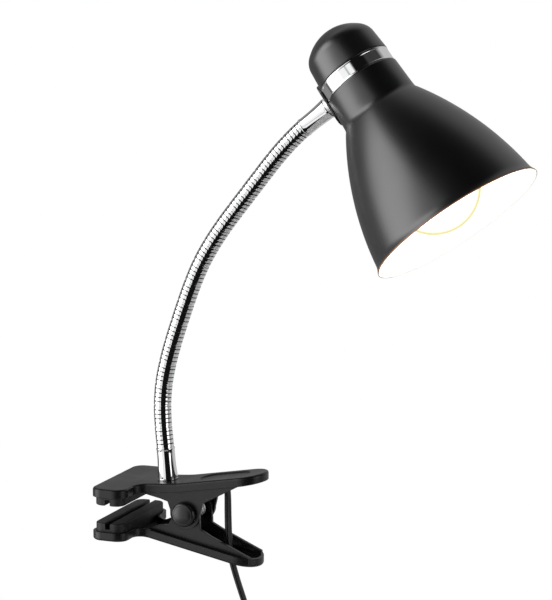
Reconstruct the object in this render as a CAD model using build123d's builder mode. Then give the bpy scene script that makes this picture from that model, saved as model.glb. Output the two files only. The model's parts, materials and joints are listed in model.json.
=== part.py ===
from build123d import *
import math
import os

# Clip-on reading lamp in millimetres: a sprung clamp, a wound gooseneck and a bell shade with a bare bulb.
# The origin is the middle of the gripping face of the upper pad's front foot.
# X runs along the clamp towards its handles, Y along the nose bar, Z up.

os.makedirs("parts", exist_ok=True)

# ---------------------------------------------------------------- clamp jaws
BOARD_GAP = 12.0  # between the pads, on the board that the clamp is drawn on
PLATE = 2.4
WALL = 2.0
RIM = 6.0  # depth of a jaw's skirt, from the plate's outer face
PAD_PROUD = 6.0  # how far a pad stands out of its skirt
JAW_TOP = RIM + PAD_PROUD

NOSE_FRONT = -6.6
NOSE_BACK = 19.0
NOSE_HALF = 38.5
NOSE_CORNER = 8.5
NECK_FILLET = 8.0
BODY_HALF = 15.5
UPPER_TIP = 108.0
LOWER_TIP = 104.5
EDGE_ROUND = 1.6

UPPER_BEND = 17.0  # where the upper plate starts to rise
UPPER_RISE = 4.5
HANDLE_BEND = 47.0  # where it turns up into the handle
HANDLE_RISE = 10.0
LOWER_BEND = 20.0
LOWER_FALL = 11.2
BEND_RADIUS = 90.0

RECESS_X = 77.0  # thumb recess in the upper handle
RECESS_LENGTH = 37.0
RECESS_WIDTH = 20.0
RECESS_DEPTH = 0.8

# ---------------------------------------------------------------- pivot and spring
PIVOT_X = 53.7
PIVOT_Z = -BOARD_GAP / 2
PIN_RADIUS = 3.0
RUNNING_FIT = 0.05
EAR = 2.4  # thickness of each cheek
EAR_GAP = 0.3  # between an upper cheek and the lower one beside it
UPPER_EAR_OUT = 14.5
UPPER_EAR_RADIUS = 10.8
LOWER_EAR_RADIUS = 9.5
CAP_RADIUS = 8.5
CAP_RISE = 5.6
CAP_CROWN = 1.0  # height of its crowned top
CAP_ROUND = 2.2
CAP_BORE = 3.6

WIRE = 2.6
COIL_RADIUS = 5.7
COIL_PITCH = 3.26
COIL_TURNS = 4
UPPER_LEG_LEAN = 44.0  # between a leg and the plate that it bears on
LOWER_LEG_LEAN = 28.0
SPRING_SEAT = 0.1

# ---------------------------------------------------------------- rubber pads
PAD_CLEARANCE = 0.2
FOOT = 8.8
GROOVE = 3.6
GROOVE_DEPTH = 4.2
FOOT_ROUND = 0.9

# ---------------------------------------------------------------- gooseneck
FERRULE_X = 35.0
FERRULE_LENGTH = 22.0
FERRULE_WIDE = 7.0
FERRULE_NARROW = 6.15
STEM_RADIUS = 5.0
STEM_CLEARANCE = 0.15
WASHER_RADIUS = 8.0
WASHER = 1.0
LOWER_NUT = 3.0
LOWER_NUT_RADIUS = 8.1
STEM_END = 0.6
LEAD_BORE = 2.7

BAND_PITCH = 2.97
BANDS = 5
LINK = BAND_PITCH * BANDS
CREST = 6.0
VALLEY = 5.45
SIDES = 20  # each band is a turned ring of this many flats
JOINT_GAP = 1.5
BALL = 5.0
SEAT_RADIUS = 5.14
SEAT_MOUTH = 1.6
SEAT_END_RADIUS = 3.55
SEAT_DEPTH = 4.25
BALL_SHOULDER = 1.6
BALL_TOP = 3.2
LINK_BORE = 2.4
# The bend of the neck: which way each link points, in degrees above the clamp's long axis
HEADINGS = (95.5, 92, 85.5, 78.5, 74, 71.5, 70.5, 69, 65.5, 60, 55.5, 52.5, 51.5, 51.5, 51, 48, 43.5)

# ---------------------------------------------------------------- head, along its own axis from the mouth
HEAD_RISE = 38.44  # of the upper ferrule
HEAD_ROLL = 6.85
HEAD_REACH = 28.65  # from the head's axis to the ferrule's face
FERRULE_AT = 113.2
SHADE_SKIN = 0.6
MOUTH_RADIUS = 60.0
LIP_RADIUS = 57.8
LIP_AT = 6.3
BELL_MIDDLE = (48.5, 45.3)
CREASE_RADIUS = 26.9
CREASE_AT = 90.0
NECK_RADIUS = 25.5
NECK_AT = 114.0
RING_RADIUS = 25.2
CAP_AT = 122.0
REAR_RADIUS = 25.4
REAR_SHOULDER = 24.2
SHOULDER_AT = 137.0
SHOULDER_MIDDLE = (22.9, 141.0)
DOME_EDGE = (19.5, 144.9)
TOP_AT = 152.5
REAR_SKIN = 1.4

SLEEVE_RADIUS = 23.6
SLEEVE_SKIN = 1.2
SLEEVE_FROM = 100.0
SLEEVE_TO = 124.5
BULKHEAD_AT = 120.8
BULKHEAD = 1.4
HOLDER_RADIUS = 20.5
HOLDER_FROM = 77.5
HOLDER_STEP = 105.8
HOLDER_NECK = 16.0
SOCKET_RADIUS = 14.4
SHELL_SKIN = 0.7
SHELL_FROM = 79.0
SHELL_TO = 97.0
SOCKET_END = 105.2
HOLDER_SCREW_AT = 9.5
HOLDER_SCREW = 1.6
HOLDER_SCREW_HEAD = 3.0

NIPPLE_RADIUS = 4.0
NIPPLE_BORE = 2.6
NIPPLE_CLEARANCE = 0.15
NIPPLE_INNER = 18.2
HEAD_NUT = 2.6
HEAD_NUT_RADIUS = 6.9
HEAD_NUT_SEAT = 21.4
SPACER_RADIUS = 6.6
SADDLE_FROM = 98.0
SADDLE_TO = 128.5
SADDLE_SKIN = 1.0
SADDLE_FRONT_RADIUS = 26.6
SADDLE_REAR_RADIUS = 25.8
SADDLE_HALF = 9.0

BULB_RADIUS = 30.0
BULB_TIP = -2.0
BULB_TAPER_AT = 41.5  # where the round globe turns into the tapered neck
BULB_NECK_RADIUS = 13.1
BULB_NECK_AT = 77.0
GLASS = 1.0
SCREW_CAP_RADIUS = 13.2
SCREW_CAP_SKIN = 0.6
SCREW_CAP_TAPER = 96.5
SCREW_CAP_END = 98.5
SCREW_CAP_NARROW = 10.6
BUTTON_RADIUS = 5.0
BULB_END = 104.0

# ---------------------------------------------------------------- cord
CORD_WIDTH = 5.2
CORD_THICK = 3.2
CORD_REST = 0.08  # between the cord and the plate that it lies against
CLIP_X = 68.6
CLIP_LENGTH = 6.0
CLIP_HALF = 10.4
CLIP = 3.0
BOSS = 2.0
BOSS_RADIUS = 3.3
CLIP_SCREW_AT = 7.0
CLIP_SCREW = 1.2
CLIP_SCREW_HEAD = 2.6
SLOT_WIDTH = 6.4
SLOT_FROM = 15.0  # along the lower floor, from the foot of the pivot's perpendicular
SLOT_TO = 46.5
ARC_SHARE = 0.45
TURNS = 9
COIL_MIDDLE = 28.5
COIL_ROWS = 3
COIL_SETTLE = 0.3  # how far the cord's ends lie inside the coil's outer face
STUB = 15.0  # straight cord above the middle of the coil, where it arrives
EXIT_STUB = 24.0  # and below, where it leaves for the plug
EXIT_ASIDE = 4.6
COIL_TOP = -100.0

PLUG_LENGTH = 35.5
PLUG_WIDTH = 26.0
PLUG_NOSE_WIDTH = 35.3
PLUG_THICK = 13.7
PLUG_GRIP = 10.0
PLUG_PIN = 19.0
PLUG_PIN_RADIUS = 2.0
PLUG_PIN_PITCH = 18.6


def rise(run, degrees):
    """Height gained over a run at a slope."""
    return run * math.tan(math.radians(degrees))


def crown(edge, top):
    """Arc from an edge point to a top on the axis, round about the axis."""
    high = top - edge[1]
    radius = (edge[0] ** 2 + high**2) / (2 * high)
    half = math.asin(edge[0] / radius) / 2
    middle = (radius * math.sin(half), top - radius + radius * math.cos(half))
    return ThreePointArc(edge, middle, (0, top))


def save(builder, name, place=Location()):
    """Name a piece, set it in its place and write its file."""
    piece = place * builder.part
    piece.label = name
    export_step(piece, f"parts/{name}.step")
    print(f"{name:20s} {piece.volume:10.1f} mm3 {'ok' if piece.is_valid else 'NOT VALID'}")


# ---------------------------------------------------------------- clamp jaws
MID_TOP = JAW_TOP + rise(HANDLE_BEND - UPPER_BEND, UPPER_RISE)
UPPER_LINE = [
    (NOSE_FRONT - 1, JAW_TOP),
    (UPPER_BEND, JAW_TOP),
    (HANDLE_BEND, MID_TOP),
    (UPPER_TIP + 1, MID_TOP + rise(UPPER_TIP + 1 - HANDLE_BEND, HANDLE_RISE)),
]
LOWER_LINE = [
    (NOSE_FRONT - 1, -BOARD_GAP - JAW_TOP),
    (LOWER_BEND, -BOARD_GAP - JAW_TOP),
    (LOWER_TIP + 1, -BOARD_GAP - JAW_TOP - rise(LOWER_TIP + 1 - LOWER_BEND, LOWER_FALL)),
]


def jaw_block(line, near, far, tip, inset):
    """Solid between two copies of a side line, cut to the jaw's plan drawn in by an inset."""
    with BuildPart() as block:
        with BuildSketch(Plane.XZ):
            with BuildLine():
                one = FilletPolyline(*[(x, z + near) for x, z in line], radius=BEND_RADIUS)
                two = FilletPolyline(*[(x, z + far) for x, z in line], radius=BEND_RADIUS)
                Line(one @ 0, two @ 0)
                Line(one @ 1, two @ 1)
            make_face()
        extrude(amount=2 * NOSE_HALF, both=True)
        with BuildSketch() as plan:
            with Locations(((NOSE_FRONT + NOSE_BACK) / 2, 0)):
                Rectangle(NOSE_BACK - NOSE_FRONT, 2 * NOSE_HALF)
            fillet(plan.vertices(), NOSE_CORNER)
            with Locations(((NOSE_FRONT + tip) / 2 + NOSE_CORNER, 0)):
                Rectangle(tip - NOSE_FRONT - 2 * NOSE_CORNER, 2 * BODY_HALF)
            inner_corners = plan.vertices().filter_by(
                lambda v: abs(v.X - NOSE_BACK) < 0.01 and abs(abs(v.Y) - BODY_HALF) < 0.01
            )
            fillet(inner_corners, NECK_FILLET)
            fillet(plan.vertices().group_by(Axis.X)[-1], BODY_HALF - 0.05)
            if inset:
                offset(amount=-inset)
        extrude(amount=2 * UPPER_TIP, both=True, mode=Mode.INTERSECT)
    return block.part


def outline_edges(block, up):
    """Edges around a jaw's outer face, without the creases that cross it."""
    skin = block.faces().filter_by(lambda f: f.normal_at().Z * up > 0.9)
    creases = skin.edges().filter_by(Axis.Y).filter_by(lambda e: e.center().X > NOSE_FRONT + 1)
    return [e for e in skin.edges() if not any(e.is_same(c) for c in creases)]


def jaw_shell(line, up, tip):
    """A jaw's plate and skirt; up is 1 where the plate's outer face looks up."""
    with BuildPart() as shell:
        add(jaw_block(line, 0, -up * RIM, tip, 0))
        fillet(outline_edges(shell, up), EDGE_ROUND)
        add(jaw_block(line, -up * PLATE, -up * 2 * RIM, tip, WALL), mode=Mode.SUBTRACT)
    return shell.part


def cheek(points, pivot_radius, inner):
    """One cheek with its round ear, standing beside the middle on the side of negative Y."""
    with BuildPart() as plate:
        with BuildSketch(Plane.XZ.offset(inner)):
            with BuildLine():
                Polyline(*points, close=True)
            make_face()
            with Locations((PIVOT_X, PIVOT_Z)):
                Circle(pivot_radius)
        extrude(amount=EAR)
    return plate.part


def pivot_bore(radius):
    """A rod along the pivot, longer than the clamp is wide."""
    with BuildPart() as rod:
        with BuildSketch(Plane.XZ):
            with Locations((PIVOT_X, PIVOT_Z)):
                Circle(radius)
        extrude(amount=NOSE_HALF, both=True)
    return rod.part


SEAT_Z = JAW_TOP + rise(FERRULE_X - UPPER_BEND, UPPER_RISE)
LEAN = math.radians(UPPER_RISE)
NECK_SEAT = Plane(
    origin=(FERRULE_X, 0, SEAT_Z),
    x_dir=(math.cos(LEAN), 0, math.sin(LEAN)),
    z_dir=(-math.sin(LEAN), 0, math.cos(LEAN)),
)


def handle_plane(x, below):
    """Plane along the upper handle, a depth below its outer face, at one x."""
    turn = math.radians(HANDLE_RISE)
    normal = Vector(-math.sin(turn), 0, math.cos(turn))
    top = Vector(x, 0, MID_TOP + rise(x - HANDLE_BEND, HANDLE_RISE))
    return Plane(origin=top - normal * below, x_dir=(math.cos(turn), 0, math.sin(turn)), z_dir=normal)


HANDLE_PLATE = PLATE * math.cos(math.radians(HANDLE_RISE))  # measured square to its face
UPPER_CHEEK = [
    (21, 6),
    (36, 3),
    (41, 1.5),
    (PIVOT_X - UPPER_EAR_RADIUS, PIVOT_Z + 2),
    (PIVOT_X - UPPER_EAR_RADIUS, PIVOT_Z),
    (PIVOT_X + UPPER_EAR_RADIUS, PIVOT_Z),
    (66.5, 2),
    (95, 17.5),
    (95, 21.5),
    (HANDLE_BEND, 13.2),
    (21, 11.2),
]
LOWER_CHEEK = [
    (21, -22.8),
    (27, -18.8),
    (32, -16.6),
    (40, -15.3),
    (PIVOT_X - LOWER_EAR_RADIUS, PIVOT_Z - 3),
    (PIVOT_X - LOWER_EAR_RADIUS, PIVOT_Z),
    (PIVOT_X + LOWER_EAR_RADIUS, PIVOT_Z),
    (PIVOT_X + LOWER_EAR_RADIUS + 0.4, -16.6),
    (73.3, -21.5),
    (100, -33),
    (100, -38.6),
    (60, -30.6),
    (21, -22.9),
]

with BuildPart() as upper_jaw:
    add(jaw_shell(UPPER_LINE, 1, UPPER_TIP))
    with BuildPart(mode=Mode.PRIVATE) as upper_cheeks:
        add(cheek(UPPER_CHEEK, UPPER_EAR_RADIUS, UPPER_EAR_OUT - EAR))
        mirror(about=Plane.XZ)
    add(upper_cheeks.part)
    add(pivot_bore(PIN_RADIUS + RUNNING_FIT), mode=Mode.SUBTRACT)
    # hole for the neck's stem
    with BuildSketch(NECK_SEAT):
        Circle(STEM_RADIUS + STEM_CLEARANCE)
    extrude(amount=2 * PLATE, both=True, mode=Mode.SUBTRACT)
    # thumb recess
    with BuildSketch(handle_plane(RECESS_X, 0)):
        SlotOverall(RECESS_LENGTH, RECESS_WIDTH)
    extrude(amount=-RECESS_DEPTH, taper=45, mode=Mode.SUBTRACT)
    # bosses under the handle for the cord clip's screws
    with BuildSketch(handle_plane(CLIP_X, HANDLE_PLATE - 0.3)):
        with Locations((0, CLIP_SCREW_AT), (0, -CLIP_SCREW_AT)):
            Circle(BOSS_RADIUS)
    extrude(amount=-BOSS - 0.3)
    with BuildSketch(handle_plane(CLIP_X, HANDLE_PLATE + BOSS)):
        with Locations((0, CLIP_SCREW_AT), (0, -CLIP_SCREW_AT)):
            Circle(CLIP_SCREW + RUNNING_FIT)
    extrude(amount=BOSS + HANDLE_PLATE / 2, mode=Mode.SUBTRACT)
save(upper_jaw, "upper_jaw")

FALL = math.radians(LOWER_FALL)
LOWER_FLOOR = Plane(
    origin=(LOWER_BEND, 0, -BOARD_GAP - JAW_TOP),
    x_dir=(math.cos(FALL), 0, -math.sin(FALL)),
    z_dir=(-math.sin(FALL), 0, -math.cos(FALL)),
)
PIVOT_FOOT = LOWER_FLOOR.to_local_coords(Vector(PIVOT_X, 0, PIVOT_Z)).X

with BuildPart() as lower_jaw:
    add(jaw_shell(LOWER_LINE, -1, LOWER_TIP))
    with BuildPart(mode=Mode.PRIVATE) as lower_cheeks:
        add(cheek(LOWER_CHEEK, LOWER_EAR_RADIUS, UPPER_EAR_OUT - 2 * EAR - EAR_GAP))
        mirror(about=Plane.XZ)
    add(lower_cheeks.part)
    add(pivot_bore(PIN_RADIUS + RUNNING_FIT), mode=Mode.SUBTRACT)
    # slot that lets the hanging cord through while the jaw opens
    with BuildSketch(LOWER_FLOOR):
        with Locations((PIVOT_FOOT + (SLOT_FROM + SLOT_TO) / 2, 0)):
            SlotOverall(SLOT_TO - SLOT_FROM, SLOT_WIDTH)
    extrude(amount=2 * PLATE, both=True, mode=Mode.SUBTRACT)
save(lower_jaw, "lower_jaw")


# ---------------------------------------------------------------- rubber pads
def pad(outer, up):
    """Rubber pad in a nose bar: two feet with a groove between; up is 1 where it grips upwards."""
    length = 2 * FOOT + GROOVE
    front = -FOOT / 2
    deep = JAW_TOP - PLATE
    with BuildPart() as block:
        with BuildSketch(Plane.XY.offset(outer)) as plan:
            with Locations((front + length / 2, 0)):
                Rectangle(length, 2 * (NOSE_HALF - WALL - PAD_CLEARANCE))
            fillet(plan.vertices(), NOSE_CORNER - WALL - PAD_CLEARANCE)
        extrude(amount=up * deep)
        with BuildSketch(Plane.XY.offset(outer + up * deep)):
            with Locations((FOOT / 2 + GROOVE / 2, 0)):
                Rectangle(GROOVE, 2 * NOSE_HALF)
        extrude(amount=-up * GROOVE_DEPTH, mode=Mode.SUBTRACT)
        feet = block.faces().filter_by(Plane.XY).group_by(Axis.Z)[-1 if up > 0 else 0]
        fillet(feet.edges(), FOOT_ROUND)
    return block


save(pad(JAW_TOP - PLATE, -1), "upper_pad")
save(pad(-BOARD_GAP - JAW_TOP + PLATE, 1), "lower_pad")

# ---------------------------------------------------------------- pivot pin and caps
with BuildPart() as pivot_pin:
    with BuildSketch(Plane.XZ):
        with Locations((PIVOT_X, PIVOT_Z)):
            Circle(PIN_RADIUS)
    extrude(amount=UPPER_EAR_OUT + CAP_BORE - RUNNING_FIT, both=True)
save(pivot_pin, "pivot_pin")

with BuildPart() as pivot_cap:
    with BuildSketch(Plane.XZ):
        with BuildLine():
            edge = Line((CAP_RADIUS, 0), (CAP_RADIUS, CAP_RISE - CAP_CROWN - CAP_ROUND))
            shoulder = TangentArc(edge @ 1, (CAP_RADIUS - CAP_ROUND, CAP_RISE - CAP_CROWN), tangent=edge % 1)
            dome = crown((CAP_RADIUS - CAP_ROUND, CAP_RISE - CAP_CROWN), CAP_RISE)
            Polyline(dome @ 1, (0, CAP_BORE), (PIN_RADIUS + RUNNING_FIT, CAP_BORE))
            Polyline((PIN_RADIUS + RUNNING_FIT, CAP_BORE), (PIN_RADIUS + RUNNING_FIT, 0), edge @ 0)
        make_face()
    revolve(axis=Axis.Z)
for name, side in (("pivot_cap_front", -1), ("pivot_cap_back", 1)):
    seat = Plane(origin=(PIVOT_X, side * UPPER_EAR_OUT, PIVOT_Z), x_dir=(1, 0, 0), z_dir=(0, side, 0))
    save(pivot_cap, name, seat.location)


# ---------------------------------------------------------------- torsion spring, about its own coil along Z
def leg_length(lean, reach):
    """Length of a straight leg from the coil to a plate at a distance from the pivot."""
    turn = math.radians(lean)
    return (reach - COIL_RADIUS * math.cos(turn)) / math.sin(turn)


def plate_reach(point, degrees):
    """Distance from the pivot to the spring wire's centre line where it bears on a plate."""
    turn = math.radians(degrees)
    run = (PIVOT_X - point[0], PIVOT_Z - point[1])
    return abs(run[0] * math.sin(turn) - run[1] * math.cos(turn)) - WIRE / 2 - SPRING_SEAT


UPPER_REACH = plate_reach((HANDLE_BEND, MID_TOP - PLATE), HANDLE_RISE)
LOWER_REACH = plate_reach((LOWER_BEND, PLATE - BOARD_GAP - JAW_TOP), -LOWER_FALL)
UPPER_LEG_TURN = HANDLE_RISE + UPPER_LEG_LEAN
LOWER_LEG_TURN = -LOWER_FALL - LOWER_LEG_LEAN
COIL_START = UPPER_LEG_TURN + 90
COIL_SWEEP = LOWER_LEG_TURN + 270 - COIL_START + 360 * COIL_TURNS
COIL_HEIGHT = COIL_PITCH * COIL_SWEEP / 360
TIP_RUN = 4.0
LEG_LAP = 1.0  # how far each leg's straight wire starts inside the coil's last turn

with BuildPart() as torsion_spring:
    with BuildLine():
        turns = Helix(pitch=COIL_PITCH, height=COIL_HEIGHT, radius=COIL_RADIUS)
    with BuildSketch(Plane(origin=turns @ 0, z_dir=turns % 0)):
        Circle(WIRE / 2)
    sweep(path=turns, is_frenet=True)
    # the legs leave square to the coil's axis, and the upper one ends in a tip along its plate
    back, onward = -(turns % 0), turns % 1
    back, onward = Vector(back.X, back.Y, 0), Vector(onward.X, onward.Y, 0)
    back, onward = back.normalized(), onward.normalized()
    elbow = turns @ 0 + back * leg_length(UPPER_LEG_LEAN, UPPER_REACH)
    tip = elbow + back.rotate(Axis.Z, -UPPER_LEG_LEAN) * TIP_RUN
    with BuildLine():
        upper_leg = FilletPolyline(turns @ 0 - back * LEG_LAP, elbow, tip, radius=WIRE)
    with BuildSketch(Plane(origin=upper_leg @ 0, z_dir=upper_leg % 0)):
        Circle(WIRE / 2)
    sweep(path=upper_leg)
    with BuildSketch(Plane(origin=turns @ 1 - onward * LEG_LAP, z_dir=onward)):
        Circle(WIRE / 2)
    extrude(amount=leg_length(LOWER_LEG_LEAN, LOWER_REACH) + LEG_LAP)
spring_place = (
    Pos(PIVOT_X, COIL_HEIGHT / 2, PIVOT_Z) * Rot(90, 0, 0) * Rot(0, 0, COIL_START)
)
save(torsion_spring, "torsion_spring", spring_place)


# ---------------------------------------------------------------- gooseneck
def ring_stack(rings, sides=SIDES):
    """Rings with flat sides, stacked along Z through (height, radius) pairs."""
    flat = math.cos(math.pi / sides)
    with BuildPart() as stack:
        for (low, wide), (high, narrow) in zip(rings, rings[1:]):
            with BuildSketch(Plane.XY.offset(low)):
                RegularPolygon(wide, sides)
            lean = math.atan((wide - narrow) * flat / (high - low))
            extrude(amount=high - low, taper=math.degrees(lean))
    return stack.part


def ball(foot):
    """Ball about the origin that stands on a face at a height and fits the next piece's seat."""
    heights = (foot, BALL_SHOULDER, BALL_TOP)
    return ring_stack([(z, math.sqrt(BALL**2 - z**2)) for z in heights])


def seat(mouth):
    """Room for a ball about the origin, open towards a face at a height."""
    return ring_stack([(mouth, SEAT_RADIUS), (SEAT_MOUTH, SEAT_RADIUS), (SEAT_DEPTH, SEAT_END_RADIUS)])


def band_rings():
    """Outline of one link: a crest in each band, valleys between, and a flat face at each end."""
    end = JOINT_GAP / 2
    end_radius = VALLEY + (CREST - VALLEY) * end / (BAND_PITCH / 2)
    rings = [(end, end_radius)]
    for band in range(BANDS):
        rings += [(BAND_PITCH * (band + 0.5), CREST), (BAND_PITCH * (band + 1), VALLEY)]
    return rings[:-1] + [(LINK - end, end_radius)]


with BuildPart() as neck_link:
    add(ring_stack(band_rings()))
    add(seat(0), mode=Mode.SUBTRACT)
    with Locations((0, 0, LINK)):
        add(ball(-JOINT_GAP))
    add(ring_stack([(0, LINK_BORE), (2 * LINK, LINK_BORE)], 12), mode=Mode.SUBTRACT)


def heading_plane(origin, degrees):
    """Plane at a point of the neck, facing along a heading in the neck's own upright plane."""
    turn = math.radians(degrees)
    return Plane(origin=origin, x_dir=(0, 1, 0), z_dir=(math.cos(turn), 0, math.sin(turn)))


knot = NECK_SEAT.from_local_coords(Vector(0, 0, FERRULE_LENGTH))
for number, heading in enumerate(HEADINGS, 1):
    link_plane = heading_plane(knot, heading)
    save(neck_link, f"neck_link_{number:02d}", link_plane.location)
    knot = link_plane.from_local_coords(Vector(0, 0, LINK))

LOWER_FACE = FERRULE_LENGTH + JOINT_GAP / 2 - 0.15
STEM = PLATE + WASHER + LOWER_NUT + STEM_END

with BuildPart() as lower_ferrule:
    with BuildSketch(Plane.XZ):
        with BuildLine():
            flare = ThreePointArc((FERRULE_WIDE, 0), (FERRULE_NARROW + 0.25, 8), (FERRULE_NARROW, LOWER_FACE))
            Polyline(flare @ 1, (0, LOWER_FACE), (0, -STEM), (STEM_RADIUS, -STEM), (STEM_RADIUS, 0), flare @ 0)
        make_face()
    revolve(axis=Axis.Z)
    with Locations((0, 0, FERRULE_LENGTH)):
        add(ball(JOINT_GAP / 4))
    with BuildSketch(Plane.XY.offset(-STEM)):
        Circle(LEAD_BORE)
    extrude(amount=STEM + FERRULE_LENGTH / 2, mode=Mode.SUBTRACT)
    add(ring_stack([(0, LINK_BORE), (2 * FERRULE_LENGTH, LINK_BORE)], 12), mode=Mode.SUBTRACT)
save(lower_ferrule, "lower_ferrule", NECK_SEAT.location)

with BuildPart() as ferrule_washer:
    with BuildSketch(Plane.XY.offset(-PLATE)):
        Circle(WASHER_RADIUS)
        Circle(STEM_RADIUS + STEM_CLEARANCE, mode=Mode.SUBTRACT)
    extrude(amount=-WASHER)
save(ferrule_washer, "ferrule_washer", NECK_SEAT.location)

with BuildPart() as ferrule_nut:
    with BuildSketch(Plane.XY.offset(-PLATE - WASHER)):
        RegularPolygon(LOWER_NUT_RADIUS, 6)
        Circle(STEM_RADIUS + RUNNING_FIT, mode=Mode.SUBTRACT)
    extrude(amount=-LOWER_NUT)
    chamfer(ferrule_nut.faces().sort_by(Axis.Z)[0].outer_wire().edges(), 0.5)
save(ferrule_nut, "ferrule_nut", NECK_SEAT.location)

# ---------------------------------------------------------------- where the head hangs
EPS = math.radians(HEAD_RISE)
ROLL = math.radians(HEAD_ROLL)
REACH = Vector(math.cos(EPS), 0, math.sin(EPS))
MOUTH_WAY = Vector(math.sin(EPS), 0, -math.cos(EPS)) * math.cos(ROLL) + Vector(0, -1, 0) * math.sin(ROLL)
UPPER_FERRULE = heading_plane(knot, HEAD_RISE)
MOUTH_CENTRE = knot + REACH * (FERRULE_LENGTH + HEAD_REACH) + MOUTH_WAY * FERRULE_AT
# The head's own frame: Z from the mouth to the rear cap, X towards the ferrule
HEAD = Plane(origin=MOUTH_CENTRE, x_dir=-REACH, z_dir=-MOUTH_WAY).location
NIPPLE_PLANE = Plane(origin=(0, 0, FERRULE_AT), x_dir=(0, 1, 0), z_dir=(1, 0, 0))

with BuildPart() as upper_ferrule:
    with BuildSketch(Plane.XZ):
        with BuildLine():
            foot = -JOINT_GAP / 2 + 0.65
            flare = ThreePointArc(
                (FERRULE_NARROW, foot), (FERRULE_NARROW + 0.25, FERRULE_LENGTH - 8), (FERRULE_WIDE, FERRULE_LENGTH)
            )
            Polyline(flare @ 1, (0, FERRULE_LENGTH), (0, foot), flare @ 0)
        make_face()
    revolve(axis=Axis.Z)
    add(seat(-1), mode=Mode.SUBTRACT)
    with BuildSketch():
        Circle(LINK_BORE)
    extrude(amount=FERRULE_LENGTH, mode=Mode.SUBTRACT)
    with BuildSketch(Plane.XY.offset(FERRULE_LENGTH)):
        Circle(NIPPLE_RADIUS + RUNNING_FIT)
    extrude(amount=-FERRULE_LENGTH / 2, mode=Mode.SUBTRACT)
save(upper_ferrule, "upper_ferrule", UPPER_FERRULE.location)


def turned(points):
    """Solid turned about the head's axis from an outline of (radius, height) points."""
    with BuildPart() as piece:
        with BuildSketch(Plane.XZ):
            with BuildLine():
                Polyline(*points, close=True)
            make_face()
        revolve(axis=Axis.Z)
    return piece.part


def nipple_rod(radius, start, end):
    """Rod along the nipple's axis between two distances from the head's axis."""
    with BuildPart() as rod:
        with BuildSketch(NIPPLE_PLANE.offset(start)):
            Circle(radius)
        extrude(amount=end - start)
    return rod.part


# ---------------------------------------------------------------- head: shade, ring, cap and saddle
def bell(skin):
    """The shade's outline, drawn in by a skin."""
    with BuildPart() as solid:
        with BuildSketch(Plane.XZ):
            with BuildLine():
                lip = ThreePointArc(
                    (MOUTH_RADIUS - skin, 0),
                    ((MOUTH_RADIUS + LIP_RADIUS) / 2 - 0.3 - skin, LIP_AT / 2),
                    (LIP_RADIUS - skin, LIP_AT),
                )
                side = ThreePointArc(
                    lip @ 1, (BELL_MIDDLE[0] - skin, BELL_MIDDLE[1]), (CREASE_RADIUS - skin, CREASE_AT)
                )
                Polyline(side @ 1, (NECK_RADIUS - skin, NECK_AT - skin), (0, NECK_AT - skin), (0, 0), lip @ 0)
            make_face()
        revolve(axis=Axis.Z)
    return solid.part


with BuildPart() as shade:
    add(bell(0))
    add(bell(SHADE_SKIN), mode=Mode.SUBTRACT)
    with BuildSketch(Plane.XY.offset(CREASE_AT)):
        Circle(SLEEVE_RADIUS + RUNNING_FIT)
    extrude(amount=NECK_AT - CREASE_AT, mode=Mode.SUBTRACT)
    add(nipple_rod(NIPPLE_RADIUS + NIPPLE_CLEARANCE, 0, MOUTH_RADIUS), mode=Mode.SUBTRACT)
save(shade, "shade", HEAD)

with BuildPart() as trim_ring:
    with BuildSketch(Plane.XY.offset(NECK_AT)):
        Circle(RING_RADIUS)
        Circle(SLEEVE_RADIUS + RUNNING_FIT, mode=Mode.SUBTRACT)
    extrude(amount=CAP_AT - NECK_AT)
    fillet(trim_ring.edges().filter_by(GeomType.CIRCLE).group_by(SortBy.RADIUS)[-1], 0.4)
    add(nipple_rod(NIPPLE_RADIUS + NIPPLE_CLEARANCE, 0, MOUTH_RADIUS), mode=Mode.SUBTRACT)
save(trim_ring, "trim_ring", HEAD)


def rear_shell(skin):
    """The rear cap's outline, drawn in by a skin."""
    with BuildPart() as solid:
        with BuildSketch(Plane.XZ):
            with BuildLine():
                wall = Line((REAR_RADIUS - skin, CAP_AT), (REAR_SHOULDER - skin, SHOULDER_AT))
                shoulder = ThreePointArc(
                    wall @ 1, *((r - skin * 0.8, z - skin * 0.6) for r, z in (SHOULDER_MIDDLE, DOME_EDGE))
                )
                dome = crown((DOME_EDGE[0] - skin * 0.8, DOME_EDGE[1] - skin * 0.6), TOP_AT - skin)
                Polyline(dome @ 1, (0, CAP_AT), wall @ 0)
            make_face()
        revolve(axis=Axis.Z)
    return solid.part


with BuildPart() as rear_cap:
    add(rear_shell(0))
    add(rear_shell(REAR_SKIN), mode=Mode.SUBTRACT)
save(rear_cap, "rear_cap", HEAD)


def saddle_outline(below, above):
    """Ring between two skins of the saddle's slanted line."""
    return turned(
        [
            (SADDLE_FRONT_RADIUS + below, SADDLE_FROM),
            (SADDLE_REAR_RADIUS + below, SADDLE_TO),
            (SADDLE_REAR_RADIUS + above, SADDLE_TO),
            (SADDLE_FRONT_RADIUS + above, SADDLE_FROM),
        ]
    )


with BuildPart() as saddle_plate:
    add(saddle_outline(0, SADDLE_SKIN))
    with BuildSketch(Plane(origin=(0, 0, (SADDLE_FROM + SADDLE_TO) / 2), x_dir=(0, 1, 0), z_dir=(1, 0, 0))):
        RectangleRounded(2 * SADDLE_HALF, SADDLE_TO - SADDLE_FROM, SADDLE_HALF - 1)
    extrude(amount=MOUTH_RADIUS, mode=Mode.INTERSECT)
    add(nipple_rod(NIPPLE_RADIUS + NIPPLE_CLEARANCE, 0, MOUTH_RADIUS), mode=Mode.SUBTRACT)
save(saddle_plate, "saddle_plate", HEAD)

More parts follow.
